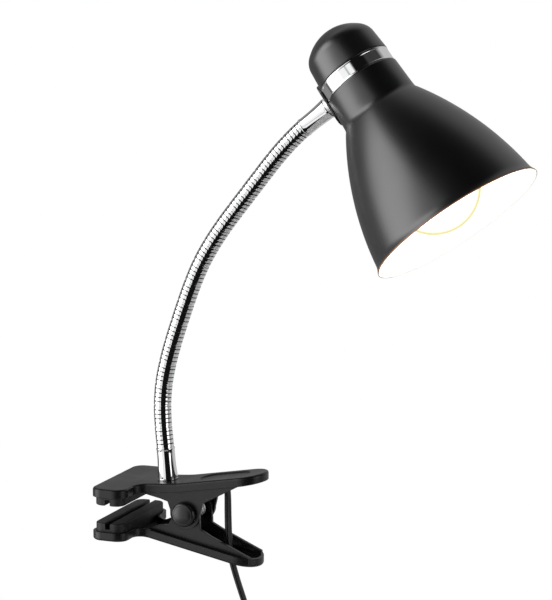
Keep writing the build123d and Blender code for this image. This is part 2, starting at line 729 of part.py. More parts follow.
with BuildPart() as spacer_washer:
    add(nipple_rod(SPACER_RADIUS, SADDLE_REAR_RADIUS, HEAD_REACH))
    add(saddle_outline(-SADDLE_REAR_RADIUS / 2, SADDLE_SKIN), mode=Mode.SUBTRACT)
    add(nipple_rod(NIPPLE_RADIUS + RUNNING_FIT, 0, MOUTH_RADIUS), mode=Mode.SUBTRACT)
save(spacer_washer, "spacer_washer", HEAD)

with BuildPart() as nipple:
    add(nipple_rod(NIPPLE_RADIUS, NIPPLE_INNER, HEAD_REACH + FERRULE_LENGTH / 2 - 0.5))
    add(nipple_rod(NIPPLE_BORE, 0, 2 * MOUTH_RADIUS), mode=Mode.SUBTRACT)
save(nipple, "nipple", HEAD)

with BuildPart() as head_nut:
    with BuildSketch(NIPPLE_PLANE.offset(HEAD_NUT_SEAT)):
        RegularPolygon(HEAD_NUT_RADIUS, 6)
        Circle(NIPPLE_RADIUS + RUNNING_FIT, mode=Mode.SUBTRACT)
    extrude(amount=-HEAD_NUT)
save(head_nut, "head_nut", HEAD)

with BuildPart() as socket_sleeve:
    inner = SLEEVE_RADIUS - SLEEVE_SKIN
    add(
        turned(
            [
                (SLEEVE_RADIUS, SLEEVE_FROM),
                (SLEEVE_RADIUS, SLEEVE_TO),
                (inner, SLEEVE_TO),
                (inner, BULKHEAD_AT + BULKHEAD),
                (LEAD_BORE, BULKHEAD_AT + BULKHEAD),
                (LEAD_BORE, BULKHEAD_AT),
                (inner, BULKHEAD_AT),
                (inner, SLEEVE_FROM),
            ]
        )
    )
    add(nipple_rod(NIPPLE_RADIUS + NIPPLE_CLEARANCE, 0, MOUTH_RADIUS), mode=Mode.SUBTRACT)
    with BuildSketch(Plane.XY.offset(BULKHEAD_AT)):
        with Locations((0, HOLDER_SCREW_AT), (0, -HOLDER_SCREW_AT)):
            Circle(HOLDER_SCREW + RUNNING_FIT)
    extrude(amount=BULKHEAD, mode=Mode.SUBTRACT)
save(socket_sleeve, "socket_sleeve", HEAD)

# ---------------------------------------------------------------- lampholder
SCREW_DEPTH = 7.0

with BuildPart() as lampholder:
    add(
        turned(
            [
                (SOCKET_RADIUS, HOLDER_FROM),
                (HOLDER_RADIUS - 1, HOLDER_FROM),
                (HOLDER_RADIUS, HOLDER_FROM + 1),
                (HOLDER_RADIUS, HOLDER_STEP - 3),
                (HOLDER_RADIUS - 3, HOLDER_STEP),
                (HOLDER_NECK, HOLDER_STEP),
                (HOLDER_NECK, BULKHEAD_AT),
                (LEAD_BORE, BULKHEAD_AT),
                (LEAD_BORE, SOCKET_END),
                (SOCKET_RADIUS, SOCKET_END),
            ]
        )
    )
    with BuildSketch(Plane.XY.offset(BULKHEAD_AT)):
        with Locations((0, HOLDER_SCREW_AT), (0, -HOLDER_SCREW_AT)):
            Circle(HOLDER_SCREW + RUNNING_FIT)
    extrude(amount=-SCREW_DEPTH, mode=Mode.SUBTRACT)
save(lampholder, "lampholder", HEAD)

with BuildPart() as lampholder_shell:
    with BuildSketch(Plane.XY.offset(SHELL_FROM)):
        Circle(SOCKET_RADIUS - RUNNING_FIT)
        Circle(SOCKET_RADIUS - RUNNING_FIT - SHELL_SKIN, mode=Mode.SUBTRACT)
    extrude(amount=SHELL_TO - SHELL_FROM)
save(lampholder_shell, "lampholder_shell", HEAD)

with BuildPart() as centre_contact:
    with BuildSketch(Plane.XZ):
        with BuildLine():
            low = Polyline((-9, SOCKET_END), (-4, SOCKET_END), (-1, BULB_END + 0.4), (4, BULB_END + 0.4))
            high = Polyline((-9, SOCKET_END - 0.4), (-4.2, SOCKET_END - 0.4), (-1.2, BULB_END), (4, BULB_END))
            Line(low @ 0, high @ 0)
            Line(low @ 1, high @ 1)
        make_face()
    extrude(amount=3, both=True)
save(centre_contact, "centre_contact", HEAD)

with BuildPart() as holder_screws:
    behind = BULKHEAD_AT + BULKHEAD
    with Locations((0, HOLDER_SCREW_AT), (0, -HOLDER_SCREW_AT)):
        with BuildSketch(Plane.XY.offset(behind)):
            Circle(HOLDER_SCREW)
        extrude(amount=-BULKHEAD - SCREW_DEPTH + 1)
        with BuildSketch(Plane.XY.offset(behind)):
            Circle(HOLDER_SCREW_HEAD)
        extrude(amount=HOLDER_SCREW)
save(holder_screws, "holder_screws", HEAD)


# ---------------------------------------------------------------- bulb
def globe(skin):
    """The bulb's glass outline, drawn in by a skin."""
    radius = BULB_RADIUS - skin
    centre = BULB_TIP + BULB_RADIUS
    rise_to = (BULB_TAPER_AT - centre) * radius / BULB_RADIUS
    wide = math.sqrt(radius**2 - rise_to**2)
    with BuildPart() as solid:
        with BuildSketch(Plane.XZ):
            with BuildLine():
                front = ThreePointArc((0, centre - radius), (radius, centre), (wide, centre + rise_to))
                taper = Spline(
                    front @ 1,
                    (BULB_NECK_RADIUS - skin, BULB_NECK_AT),
                    tangents=((-rise_to, wide), (0, 1)),
                )
                Polyline(taper @ 1, (0, BULB_NECK_AT), front @ 0)
            make_face()
        revolve(axis=Axis.Z)
    return solid.part


with BuildPart() as bulb_globe:
    add(globe(0))
    add(globe(GLASS), mode=Mode.SUBTRACT)
save(bulb_globe, "bulb_globe", HEAD)

with BuildPart() as bulb_cap:
    thin = SCREW_CAP_RADIUS - SCREW_CAP_SKIN
    add(
        turned(
            [
                (SCREW_CAP_RADIUS, BULB_NECK_AT),
                (SCREW_CAP_RADIUS, SCREW_CAP_TAPER),
                (SCREW_CAP_NARROW, SCREW_CAP_END),
                (SCREW_CAP_NARROW - SCREW_CAP_SKIN, SCREW_CAP_END),
                (thin, SCREW_CAP_TAPER - SCREW_CAP_SKIN / 2),
                (thin, BULB_NECK_AT),
            ]
        )
    )
save(bulb_cap, "bulb_cap", HEAD)

BUTTON_FROM = BULB_END - 1.2

with BuildPart() as bulb_insulator:
    add(
        turned(
            [
                (0, SCREW_CAP_END),
                (SCREW_CAP_NARROW, SCREW_CAP_END),
                (BUTTON_RADIUS + 0.6, BUTTON_FROM),
                (0, BUTTON_FROM),
            ]
        )
    )
save(bulb_insulator, "bulb_insulator", HEAD)

with BuildPart() as bulb_button:
    with BuildSketch(Plane.XY.offset(BUTTON_FROM)):
        Circle(BUTTON_RADIUS)
    extrude(amount=BULB_END - BUTTON_FROM)
    fillet(bulb_button.faces().sort_by(Axis.Z)[-1].edges(), 0.7)
save(bulb_button, "bulb_button", HEAD)


# ---------------------------------------------------------------- cord
def arc_radii(route):
    """The largest tangent arcs that a route's runs allow, one for each inner point."""
    radii = []
    for before, here, after in zip(route, route[1:], route[2:]):
        into, out = Vector(here) - Vector(before), Vector(after) - Vector(here)
        half_turn = math.radians(into.get_angle(out) / 2)
        radii.append(ARC_SHARE * min(into.length, out.length) / math.tan(half_turn))
    return radii


def cord_section(wide=CORD_WIDTH, thick=CORD_THICK):
    """Draw the cord's flat section with its round edges."""
    SlotOverall(wide, thick)


def cord_tube(route, name):
    """The cord along a route of straight runs and tangent arcs."""
    radii = arc_radii(route)
    with BuildPart() as tube:
        with BuildLine():
            path = FilletPolyline(*route, radius=radii)
        with BuildSketch(Plane(origin=path @ 0, x_dir=(0, 1, 0), z_dir=path % 0)):
            cord_section()
        sweep(path=path)
    area = CORD_THICK * (CORD_WIDTH - CORD_THICK) + math.pi * CORD_THICK**2 / 4
    print(name, "radii", [round(r, 1) for r in radii], "length", round(path.length, 1))
    print(name, "volume", round(tube.part.volume, 1), "section x length", round(area * path.length, 1))
    return tube


def under_handle(run):
    """Point on the cord's centre line against the handle's underside, past the clip's middle."""
    plane = handle_plane(CLIP_X, HANDLE_PLATE + CORD_REST + CORD_THICK / 2)
    return tuple(plane.from_local_coords(Vector(run, 0, 0)))


STEM_MOUTH = tuple(NECK_SEAT.from_local_coords(Vector(0, 0, -STEM)))
LEAD_ROUTE = [
    STEM_MOUTH,
    (35.9, 0, 3.2),
    (39.4, 0, 1.9),
    (49, 0, 4.6),
    (57, 0, 9.4),
    under_handle(-6),
    under_handle(CLIP_LENGTH / 2),
]
CORD_ROUTE = [
    under_handle(CLIP_LENGTH / 2),
    under_handle(CLIP_LENGTH / 2 + 2.6),
    (77.7, 0, 13.9),
    (79.4, 0, 11),
    (79.4, 0, -14),
    (80.6, 0, -34),
    (85.2, 0, -50),
    (91.3, 0, -67.2),
    (95.4, 0, -79),
    (97.6, 0, -90),
    (97.6, 0, COIL_TOP),
]
save(cord_tube(LEAD_ROUTE, "inner_lead"), "inner_lead")
save(cord_tube(CORD_ROUTE, "cord"), "cord")

with BuildPart() as cord_clip:
    with BuildSketch(handle_plane(CLIP_X, HANDLE_PLATE + BOSS)):
        RectangleRounded(CLIP_LENGTH, 2 * CLIP_HALF, CLIP_LENGTH / 2 - 0.1)
    extrude(amount=-CLIP)
    with BuildSketch(handle_plane(CLIP_X, HANDLE_PLATE + BOSS)):
        Rectangle(2 * CLIP_LENGTH, CORD_WIDTH + 2 * CORD_REST)
    extrude(amount=-(CORD_THICK + 2 * CORD_REST - BOSS), mode=Mode.SUBTRACT)
    with BuildSketch(handle_plane(CLIP_X, HANDLE_PLATE + BOSS)):
        with Locations((0, CLIP_SCREW_AT), (0, -CLIP_SCREW_AT)):
            Circle(CLIP_SCREW + RUNNING_FIT)
    extrude(amount=-CLIP, mode=Mode.SUBTRACT)
save(cord_clip, "cord_clip")

with BuildPart() as clip_screws:
    under_clip = handle_plane(CLIP_X, HANDLE_PLATE + BOSS + CLIP)
    with BuildSketch(under_clip):
        with Locations((0, CLIP_SCREW_AT), (0, -CLIP_SCREW_AT)):
            Circle(CLIP_SCREW)
    extrude(amount=CLIP + BOSS)
    with BuildSketch(under_clip):
        with Locations((0, CLIP_SCREW_AT), (0, -CLIP_SCREW_AT)):
            Circle(CLIP_SCREW_HEAD)
    extrude(amount=-CLIP_SCREW_HEAD / 2)
save(clip_screws, "clip_screws")

# ---------------------------------------------------------------- the cord's unseen length, put away in a coil
COIL_DEEP = COIL_ROWS * CORD_THICK
COIL_WIDE = COIL_ROWS * CORD_WIDTH
COIL_OUTER = COIL_MIDDLE + COIL_DEEP / 2 - CORD_THICK / 2 - COIL_SETTLE
CORD_X = CORD_ROUTE[-1][0]
COIL_CENTRE = (CORD_X - COIL_OUTER, 0, COIL_TOP - STUB)

with BuildPart() as cord_coil:
    with BuildSketch():
        with Locations((COIL_MIDDLE, 0)):
            RectangleRounded(COIL_DEEP, COIL_WIDE, CORD_THICK / 2)
    revolve(axis=Axis.Y)
    for run, aside in ((STUB, 0), (-EXIT_STUB, EXIT_ASIDE)):
        with BuildSketch(Plane.XY):
            with Locations((COIL_OUTER, aside)):
                SlotOverall(CORD_WIDTH, CORD_THICK, rotation=90)
        extrude(amount=run)
save(cord_coil, "cord_coil", Pos(*COIL_CENTRE))
print("cord in the coil", round(TURNS * 2 * math.pi * COIL_MIDDLE + STUB + EXIT_STUB, 1))

# ---------------------------------------------------------------- plug
PLUG_TOP = Plane(
    origin=(CORD_X, EXIT_ASIDE, COIL_TOP - STUB - EXIT_STUB), x_dir=(0, 1, 0), z_dir=(0, 0, -1)
)

with BuildPart() as plug_body:
    for depth, wide, thick in (
        (0, CORD_WIDTH + 2, CORD_THICK + 2),
        (PLUG_GRIP, PLUG_WIDTH * 0.7, PLUG_THICK - 2),
        (PLUG_LENGTH * 0.6, PLUG_WIDTH, PLUG_THICK),
        (PLUG_LENGTH, PLUG_NOSE_WIDTH, PLUG_THICK),
    ):
        with BuildSketch(Plane.XY.offset(depth)):
            RectangleRounded(wide, thick, thick / 2 - 0.1)
    loft(ruled=True)
    with BuildSketch(Plane.XY.offset(PLUG_LENGTH)):
        with GridLocations(PLUG_PIN_PITCH, 0, 2, 1):
            Circle(PLUG_PIN_RADIUS + RUNNING_FIT)
    extrude(amount=-PLUG_GRIP, mode=Mode.SUBTRACT)
save(plug_body, "plug_body", PLUG_TOP.location)

with BuildPart() as plug_pins:
    with BuildSketch(Plane.XY.offset(PLUG_LENGTH - PLUG_GRIP + 1)):
        with GridLocations(PLUG_PIN_PITCH, 0, 2, 1):
            Circle(PLUG_PIN_RADIUS)
    extrude(amount=PLUG_PIN + PLUG_GRIP - 1)
    fillet(plug_pins.faces().sort_by(Axis.Z)[-2:].edges(), PLUG_PIN_RADIUS - 0.3)
save(plug_pins, "plug_pins", PLUG_TOP.location)
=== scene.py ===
"""Clip-on reading lamp: a sprung clamp, a wound gooseneck and a bell shade with a lit opal bulb.

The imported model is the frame. X runs along the clamp towards its handles, Y along the nose bar and Z up.
Sizes in the classes are millimetres. The scene is in metres, and so are the patterns of the finishes.
"""

import json
import logging
import math
from collections.abc import Callable, Sequence
from dataclasses import dataclass
from enum import IntEnum

import bpy
from mathutils import Matrix, Vector

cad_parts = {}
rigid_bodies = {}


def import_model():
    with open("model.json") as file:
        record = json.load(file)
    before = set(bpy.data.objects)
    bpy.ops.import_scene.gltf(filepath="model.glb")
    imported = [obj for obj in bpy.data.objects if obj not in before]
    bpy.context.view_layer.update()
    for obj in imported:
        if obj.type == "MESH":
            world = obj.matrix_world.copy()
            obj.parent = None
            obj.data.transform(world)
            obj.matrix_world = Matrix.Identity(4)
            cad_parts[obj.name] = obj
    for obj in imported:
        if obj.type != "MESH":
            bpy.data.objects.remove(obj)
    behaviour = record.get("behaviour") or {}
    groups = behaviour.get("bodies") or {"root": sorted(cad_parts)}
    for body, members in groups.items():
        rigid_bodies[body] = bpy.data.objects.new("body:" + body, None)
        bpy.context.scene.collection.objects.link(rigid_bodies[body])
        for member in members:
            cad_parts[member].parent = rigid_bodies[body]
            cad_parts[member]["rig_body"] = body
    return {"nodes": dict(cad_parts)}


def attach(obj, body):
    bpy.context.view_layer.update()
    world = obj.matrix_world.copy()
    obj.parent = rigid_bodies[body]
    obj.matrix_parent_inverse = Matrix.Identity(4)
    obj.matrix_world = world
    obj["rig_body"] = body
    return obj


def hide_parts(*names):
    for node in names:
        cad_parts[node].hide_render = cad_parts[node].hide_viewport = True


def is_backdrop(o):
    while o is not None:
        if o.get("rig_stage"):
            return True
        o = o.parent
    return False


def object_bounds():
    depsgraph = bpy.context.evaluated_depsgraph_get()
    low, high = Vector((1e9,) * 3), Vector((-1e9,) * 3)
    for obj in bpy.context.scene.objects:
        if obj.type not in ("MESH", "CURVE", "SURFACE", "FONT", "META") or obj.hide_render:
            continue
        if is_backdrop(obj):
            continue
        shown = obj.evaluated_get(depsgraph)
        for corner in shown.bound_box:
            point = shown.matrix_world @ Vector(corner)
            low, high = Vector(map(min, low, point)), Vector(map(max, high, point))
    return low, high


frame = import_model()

MM = 0.001
LOG = logging.getLogger("reading_lamp")

Spot = tuple[float, float]
Outline = list[Spot]
Point = tuple[float, float, float]
Piece = bpy.types.Object
Socket = bpy.types.NodeSocket
Inputs = dict[int | str, object]

WHITE = (1.0, 1.0, 1.0)
# grey of the dust that settles on plastic
DUST = 0.11
# painted light: warm white glow put on the white enamel inside the shade, standing in for the bulb's light on
# it; and the coating and rim of the bulb's own glass
PAINTED_BULB_LIGHT = (1.0, 0.97, 0.9)
COATING = ((1.0, 0.9, 0.62), (1.0, 0.97, 0.88))
GLASS_RIM = (0.93, 0.86, 0.5)


# ---------------------------------------------------------------- finishes
def opaque(colour: Sequence[float]) -> tuple[float, float, float, float]:
    """A colour with its alpha."""
    return (*colour, 1.0)


class Mixer:
    """Adds nodes to the tree of a material or of the world."""

    def __init__(self, owner: bpy.types.Material | bpy.types.World) -> None:
        """Open the nodes of a material or a world."""
        owner.use_nodes = True
        self.tree = owner.node_tree

    def fill(self, node: bpy.types.Node, socket: int | str, value: object) -> None:
        """Give an input of a node a value or a pattern.

        Args:
            node: the node.
            socket: name or number of the input.
            value: a number, a colour or another node's output.
        """
        if isinstance(value, Socket):
            self.tree.links.new(value, node.inputs[socket])
        else:
            node.inputs[socket].default_value = value

    def node(self, kind: str, inputs: Inputs | None = None, **settings: object) -> bpy.types.Node:
        """Add a node.

        Args:
            kind: the node's type, without the ShaderNode that it starts with.
            inputs: a value or a socket for each input, by name or number.
            settings: the node's own settings.

        Returns:
            The node.
        """
        made = self.tree.nodes.new(f"ShaderNode{kind}")
        for name, value in settings.items():
            setattr(made, name, value)
        for socket, value in (inputs or {}).items():
            self.fill(made, socket, value)
        return made

    def sum(self, kind: str, *values: object) -> Socket:
        """Add, multiply or compare numbers or sockets."""
        return self.node("Math", dict(enumerate(values)), operation=kind).outputs[0]

    def ramp(self, value: Socket, start: float, end: float, low: float = 0.0, high: float = 1.0) -> Socket:
        """Spread a range of a pattern between two numbers.

        Args:
            value: the pattern.
            start: where the range starts.
            end: where it ends.
            low: number at its start.
            high: number at its end.

        Returns:
            The spread pattern.
        """
        ends = {"Value": value, "From Min": start, "From Max": end, "To Min": low, "To Max": high}
        return self.node("MapRange", ends).outputs[0]

    def soften(self, value: Socket, start: float, end: float) -> Socket:
        """Number that runs gently from 0 at the start to 1 at the end, which may come first."""
        ends = {"Value": value, "From Min": start, "From Max": end}
        return self.node("MapRange", ends, interpolation_type="SMOOTHSTEP").outputs[0]

    def emit(self, colour: Point, strength: float = 1.0) -> Socket:
        """A plain glow."""
        return self.node("Emission", {0: opaque(colour), 1: strength}).outputs[0]

    def either(self, share: Socket, first: Socket, second: Socket) -> Socket:
        """Mix two shaders by the second one's share."""
        return self.node("MixShader", {0: share, 1: first, 2: second}).outputs[0]

    def seen(self) -> Socket:
        """1 for what the camera sees, straight or through glass, and 0 for other rays."""
        rays = self.node("LightPath").outputs
        return self.sum("MAXIMUM", rays["Is Camera Ray"], rays["Is Transmission Ray"])


class Recipe(Mixer):
    """A material's nodes while it is being mixed."""

    def __init__(self, name: str) -> None:
        """Open an empty recipe.

        Args:
            name: name of the material.
        """
        self.material = bpy.data.materials.new(name)
        super().__init__(self.material)
        self.shader = next(n for n in self.tree.nodes if n.type == "BSDF_PRINCIPLED")
        self.output = next(n for n in self.tree.nodes if n.type == "OUTPUT_MATERIAL")
        self.place = self.node("TexCoord").outputs["Object"]

    def feed(self, values: dict[str, object]) -> None:
        """Give the shader values or patterns, by the names of its inputs."""
        for socket, value in values.items():
            self.fill(self.shader, socket, value)

    def noise(self, size: float, detail: float, stretch: Point = (1.0, 1.0, 1.0)) -> Socket:
        """Cloudy pattern.

        Args:
            size: size of its patches, in metres.
            detail: how many finer layers it has.
            stretch: how much finer it is along each axis.

        Returns:
            A value about 0.5.
        """
        place = self.node("Mapping", {"Vector": self.place, "Scale": stretch}).outputs[0]
        return self.node("TexNoise", {"Vector": place, "Scale": 1 / size, "Detail": detail}).outputs[0]

    def clouds(self, size: float, detail: float, low: float, high: float) -> Socket:
        """Cloudy pattern between two numbers, most of which lies from 0.25 to 0.75 before it is spread."""
        return self.ramp(self.noise(size, detail), 0.25, 0.75, low, high)

    def blend(self, share: Socket, first: Point, second: Point) -> Socket:
        """Mix two colours by the second one's share."""
        return self.node("Mix", {0: share, 6: opaque(first), 7: opaque(second)}, data_type="RGBA").outputs[2]

    def relief(self, height: Socket, depth: float, rounding: float = 0.0) -> None:
        """Raise the surface by a pattern.

        Args:
            height: the pattern.
            depth: its depth in metres.
            rounding: radius in metres by which its edges catch the light.
        """
        bump = self.node("Bump", {"Height": height, "Distance": depth})
        if rounding:
            edge = self.node("Bevel", {"Radius": rounding}, samples=6)
            self.fill(bump, "Normal", edge.outputs[0])
        self.feed({"Normal": bump.outputs[0]})


@dataclass(frozen=True)
class Finish:
    """A surface finish, with the record's slot that it belongs to."""

    name: str
    slot: str
    colour: Point
    roughness: float

    def open(self) -> Recipe:
        """Start the recipe.

        Returns:
            A recipe with the colour and the roughness.
        """
        recipe = Recipe(self.name)
        recipe.feed({"Base Color": opaque(self.colour), "Roughness": self.roughness})
        return recipe

    def add(self, recipe: Recipe) -> None:
        """Add what is special to the finish, which is nothing for a plain one."""

    def mix(self) -> bpy.types.Material:
        """Mix the material.

        Returns:
            The material.
        """
        recipe = self.open()
        self.add(recipe)
        return recipe.material


@dataclass(frozen=True)
class Moulded(Finish):
    """Plastic or rubber with a fine moulded grain and slightly uneven sheen."""

    grain: float = 0.0006
    depth: float = 0.00001
    uneven: float = 0.06
    dust: float = 0.25
    rounding: float = 0.0
    shine: float = 0.5

    def add(self, recipe: Recipe) -> None:
        """Add grain, a handled sheen and a breath of dust in the colour.

        Args:
            recipe: the opened recipe.
        """
        handled = recipe.clouds(0.02, 4.0, self.roughness - self.uneven, self.roughness + self.uneven)
        dusty = tuple(c + (DUST - c) * self.dust for c in self.colour)
        colour = recipe.blend(recipe.clouds(0.007, 6.0, 0.0, 0.6), self.colour, dusty)
        recipe.feed({"Specular IOR Level": self.shine, "Roughness": handled, "Base Color": colour})
        recipe.relief(recipe.noise(self.grain, 2.0), self.depth, self.rounding)


@dataclass(frozen=True)
class Enamel(Finish):
    """Sprayed and baked enamel: a faint orange peel under a smooth coat."""

    peel: float = 0.0018
    depth: float = 0.000012
    shine: float = 0.5
    # strength of a painted glow that stands in for bulb light falling on the enamel
    glow: float = 0.0

    def add(self, recipe: Recipe) -> None:
        """Add orange peel, a clouded sheen, fine specks of dust and any glow of bulb light painted on.

        Args:
            recipe: the opened recipe.
        """
        sheen = recipe.clouds(0.03, 5.0, self.roughness - 0.03, self.roughness + 0.03)
        lighter = tuple(c * 1.5 + 0.001 for c in self.colour)
        colour = recipe.blend(recipe.clouds(0.0012, 2.0, 0.0, 0.5), self.colour, lighter)
        recipe.feed({"Specular IOR Level": self.shine, "Roughness": sheen, "Base Color": colour})
        # painted light: the enamel glows as if lit by the bulb
        if self.glow:
            recipe.feed({"Emission Color": opaque(PAINTED_BULB_LIGHT), "Emission Strength": self.glow})
        recipe.relief(recipe.noise(self.peel, 1.0), self.depth)


@dataclass(frozen=True)
class Plated(Finish):
    """Plated or bare metal with drawn lines and fingered patches."""

    lines: Point = (1.0, 1.0, 1.0)
    line_size: float = 0.0012
    depth: float = 0.000002
    tarnish: Point = (0.5, 0.5, 0.5)
    tarnished: float = 0.15

    def add(self, recipe: Recipe) -> None:
        """Add fine lines, a hazed polish and a little tarnish.

        Args:
            recipe: the opened recipe.
        """
        haze = recipe.clouds(0.009, 4.0, self.roughness * 0.7, self.roughness * 1.5 + 0.01)
        stained = recipe.blend(recipe.clouds(0.004, 5.0, 0.0, self.tarnished), self.colour, self.tarnish)
        recipe.feed({"Metallic": 1.0, "Roughness": haze, "Base Color": stained})
        recipe.relief(recipe.noise(self.line_size, 2.0, self.lines), self.depth)


@dataclass(frozen=True)
class OpalGlass(Finish):
    """Opal bulb glass, lit from inside, with a clear warm rim."""

    strength: float = 3.0

    def add(self, recipe: Recipe) -> None:
        """Let the coated glass glow, a little unevenly, under a glossy skin.

        Args:
            recipe: the opened recipe.
        """
        colour = recipe.blend(recipe.clouds(0.02, 2.0, 0.9, 1.0), *COATING)
        recipe.feed({"Emission Color": colour, "Emission Strength": self.strength})
        rim = recipe.node("LayerWeight", {"Blend": 0.5}).outputs["Facing"]
        skin = recipe.emit(GLASS_RIM, 0.97)
        glass = recipe.either(recipe.ramp(rim, 0.35, 0.7), recipe.shader.outputs[0], skin)
        recipe.fill(recipe.output, 0, glass)


class Finishes:
    """The lamp's finishes, mixed once each."""

    JAW = Moulded(
        "jaw_plastic", "black_jaw", (0.006, 0.006, 0.0063), 0.34,
        grain=0.0007, depth=0.000012, dust=0.06, rounding=0.0006, shine=0.42,
    )
    # painted shade: a darker copy of the jaw plastic, for the shade of the shelf that the clamp grips
    CAP = Moulded(
        "pivot_cap_plastic_painted_shade", "black_jaw", (0.0035, 0.0035, 0.0037), 0.3,
        grain=0.0011, depth=0.000006, dust=0.03, shine=0.6,
    )
    PAD = Moulded(
        "pad_rubber", "black_rubber", (0.008, 0.008, 0.008), 0.6, grain=0.0005, depth=0.00003, dust=0.12
    )
    SPRING = Plated(
        "bright_zinc", "zinc", (0.78, 0.79, 0.81), 0.3,
        lines=(0.4, 3.0, 0.4), line_size=0.0006, depth=0.000006, tarnish=(0.42, 0.4, 0.36),
    )
    CHROME = Plated(
        "polished_chrome", "chrome", (0.9, 0.905, 0.91), 0.05,
        lines=(1.0, 1.0, 0.3), line_size=0.002, depth=0.0000015, tarnish=(0.7, 0.71, 0.73),
    )
    WASHER = Plated(
        "satin_washer", "chrome", (0.9, 0.9, 0.9), 0.45, line_size=0.0006, tarnish=(0.7, 0.7, 0.7)
    )
    # painted shade: near-black on the grooves, the bands' rounded edges and the tube between them, where
    # shade falls between the bands
    GROOVE = Moulded(
        "groove_painted_shade", "chrome", (0.01, 0.01, 0.01), 0.5, grain=0.0005, depth=0.000005, dust=0.05
    )
    SHADE = Enamel(
        "shade_enamel", "shade_paint", (0.002, 0.002, 0.0022), 0.33, peel=0.0016, depth=0.000008, shine=1.0
    )
    # white inside of the shade, with a painted glow standing in for the lit bulb's light on it
    INSIDE = Enamel(
        "inside_enamel_painted_glow", "shade_paint", (0.92, 0.91, 0.88), 0.4, peel=0.002, depth=0.00001, glow=0.35
    )
    # painted light: warm brown on the lip's edge stands in for the bulb's light catching it
    LIP = Moulded("lip_painted_bulb_light", "shade_paint", (0.3, 0.12, 0.045), 0.45, grain=0.0009, dust=0.05)
    REAR = Moulded(
        "rear_cap_plastic", "black_gloss", (0.003, 0.003, 0.0032), 0.33,
        grain=0.0016, depth=0.000008, uneven=0.03, dust=0.05, shine=1.1,
    )
    SADDLE = Enamel("saddle_enamel", "saddle_black", (0.005, 0.005, 0.0055), 0.32, peel=0.0014)
    SLEEVE = Plated(
        "plain_steel", "sleeve_steel", (0.5, 0.5, 0.51), 0.3, lines=(1.0, 1.0, 6.0), tarnish=(0.3, 0.27, 0.22)
    )
    HOLDER = Moulded("holder_thermoset", "holder_black", (0.02, 0.02, 0.021), 0.5, grain=0.0004)
    BRASS = Plated(
        "plain_brass", "brass", (0.72, 0.55, 0.25), 0.28, tarnish=(0.4, 0.28, 0.12), tarnished=0.35
    )
    NICKEL = Plated(
        "nickel_pins", "brass", (0.72, 0.69, 0.62), 0.2, lines=(1.0, 1.0, 8.0), tarnish=(0.5, 0.45, 0.36)
    )
    BULB = OpalGlass("opal_glass", "bulb_glass", (0.95, 0.94, 0.9), 0.25)
    BULB_METAL = Plated("bulb_aluminium", "bulb_metal", (0.8, 0.8, 0.81), 0.26, tarnish=(0.55, 0.55, 0.56))
    BULB_BLACK = Moulded(
        "bulb_insulator_glass", "bulb_black", (0.012, 0.012, 0.016), 0.15, depth=0.000004, dust=0.05
    )
    CORD = Moulded("cord_pvc", "cord_black", (0.004, 0.004, 0.004), 0.36, grain=0.0009, dust=0.05)
    PLUG = Moulded(
        "plug_plastic", "plug_black", (0.008, 0.008, 0.008), 0.46, grain=0.0005, depth=0.00002, dust=0.08
    )

    def __init__(self) -> None:
        """Start with nothing mixed."""
        self._mixed: dict[str, bpy.types.Material] = {}

    def get(self, finish: Finish) -> bpy.types.Material:
        """The material of a finish, mixed on first use.

        Args:
            finish: the finish.

        Returns:
            Its material.
        """
        if finish.name not in self._mixed:
            self._mixed[finish.name] = finish.mix()
        return self._mixed[finish.name]


FINISHES = Finishes()


# ---------------------------------------------------------------- hand moves
def clear() -> None:
    """Leave edit mode and deselect everything."""
    if bpy.context.object and bpy.context.object.mode != "OBJECT":
        bpy.ops.object.mode_set(mode="OBJECT")
    bpy.ops.object.select_all(action="DESELECT")


def take(piece: Piece) -> None:
    """Make one piece the only selected and active one.

    Args:
        piece: the piece.
    """
    clear()
    piece.select_set(True)
    bpy.context.view_layer.objects.active = piece


def begin(name: str) -> Piece:
    """Name the active piece and open it for editing, all selected.

    Args:
        name: its name.

    Returns:
        The piece.
    """
    piece = bpy.context.object
    piece.name = name
    bpy.ops.object.mode_set(mode="EDIT")
    bpy.ops.mesh.select_all(action="SELECT")
    return piece


def draw_out(*step: float) -> None:
    """Extrude what is selected by a step along X, Y and Z, in millimetres."""
    bpy.ops.mesh.extrude_region_move(TRANSFORM_OT_translate={"value": [part * MM for part in step]})


def face_out() -> None:
    """Turn all faces outwards and leave edit mode."""
    bpy.ops.mesh.select_all(action="SELECT")
    bpy.ops.mesh.normals_make_consistent(inside=False)
    bpy.ops.object.mode_set(mode="OBJECT")


def pick_points(piece: Piece, test: Callable[[Vector], bool]) -> None:
    """Select points of a piece by their place, and stay in edit mode.

    Args:
        piece: the piece.
        test: says yes to a point's place.
    """
    take(piece)
    bpy.ops.object.mode_set(mode="EDIT")
    bpy.ops.mesh.select_mode(type="VERT")
    bpy.ops.mesh.select_all(action="DESELECT")
    bpy.ops.object.mode_set(mode="OBJECT")
    for point in piece.data.vertices:
        point.select = test(point.co)
    bpy.ops.object.mode_set(mode="EDIT")


def finish_with(piece: Piece, modifier: bpy.types.Modifier) -> None:
    """Apply a modifier."""
    take(piece)
    bpy.ops.object.modifier_apply(modifier=modifier.name)


def link_up(name: str, data: bpy.types.ID) -> Piece:
    """Put a camera or a curve in the scene.

    Args:
        name: its name.
        data: its data.

    Returns:
        The object.
    """
    made = bpy.data.objects.new(name, data)
    bpy.context.scene.collection.objects.link(made)
    return made


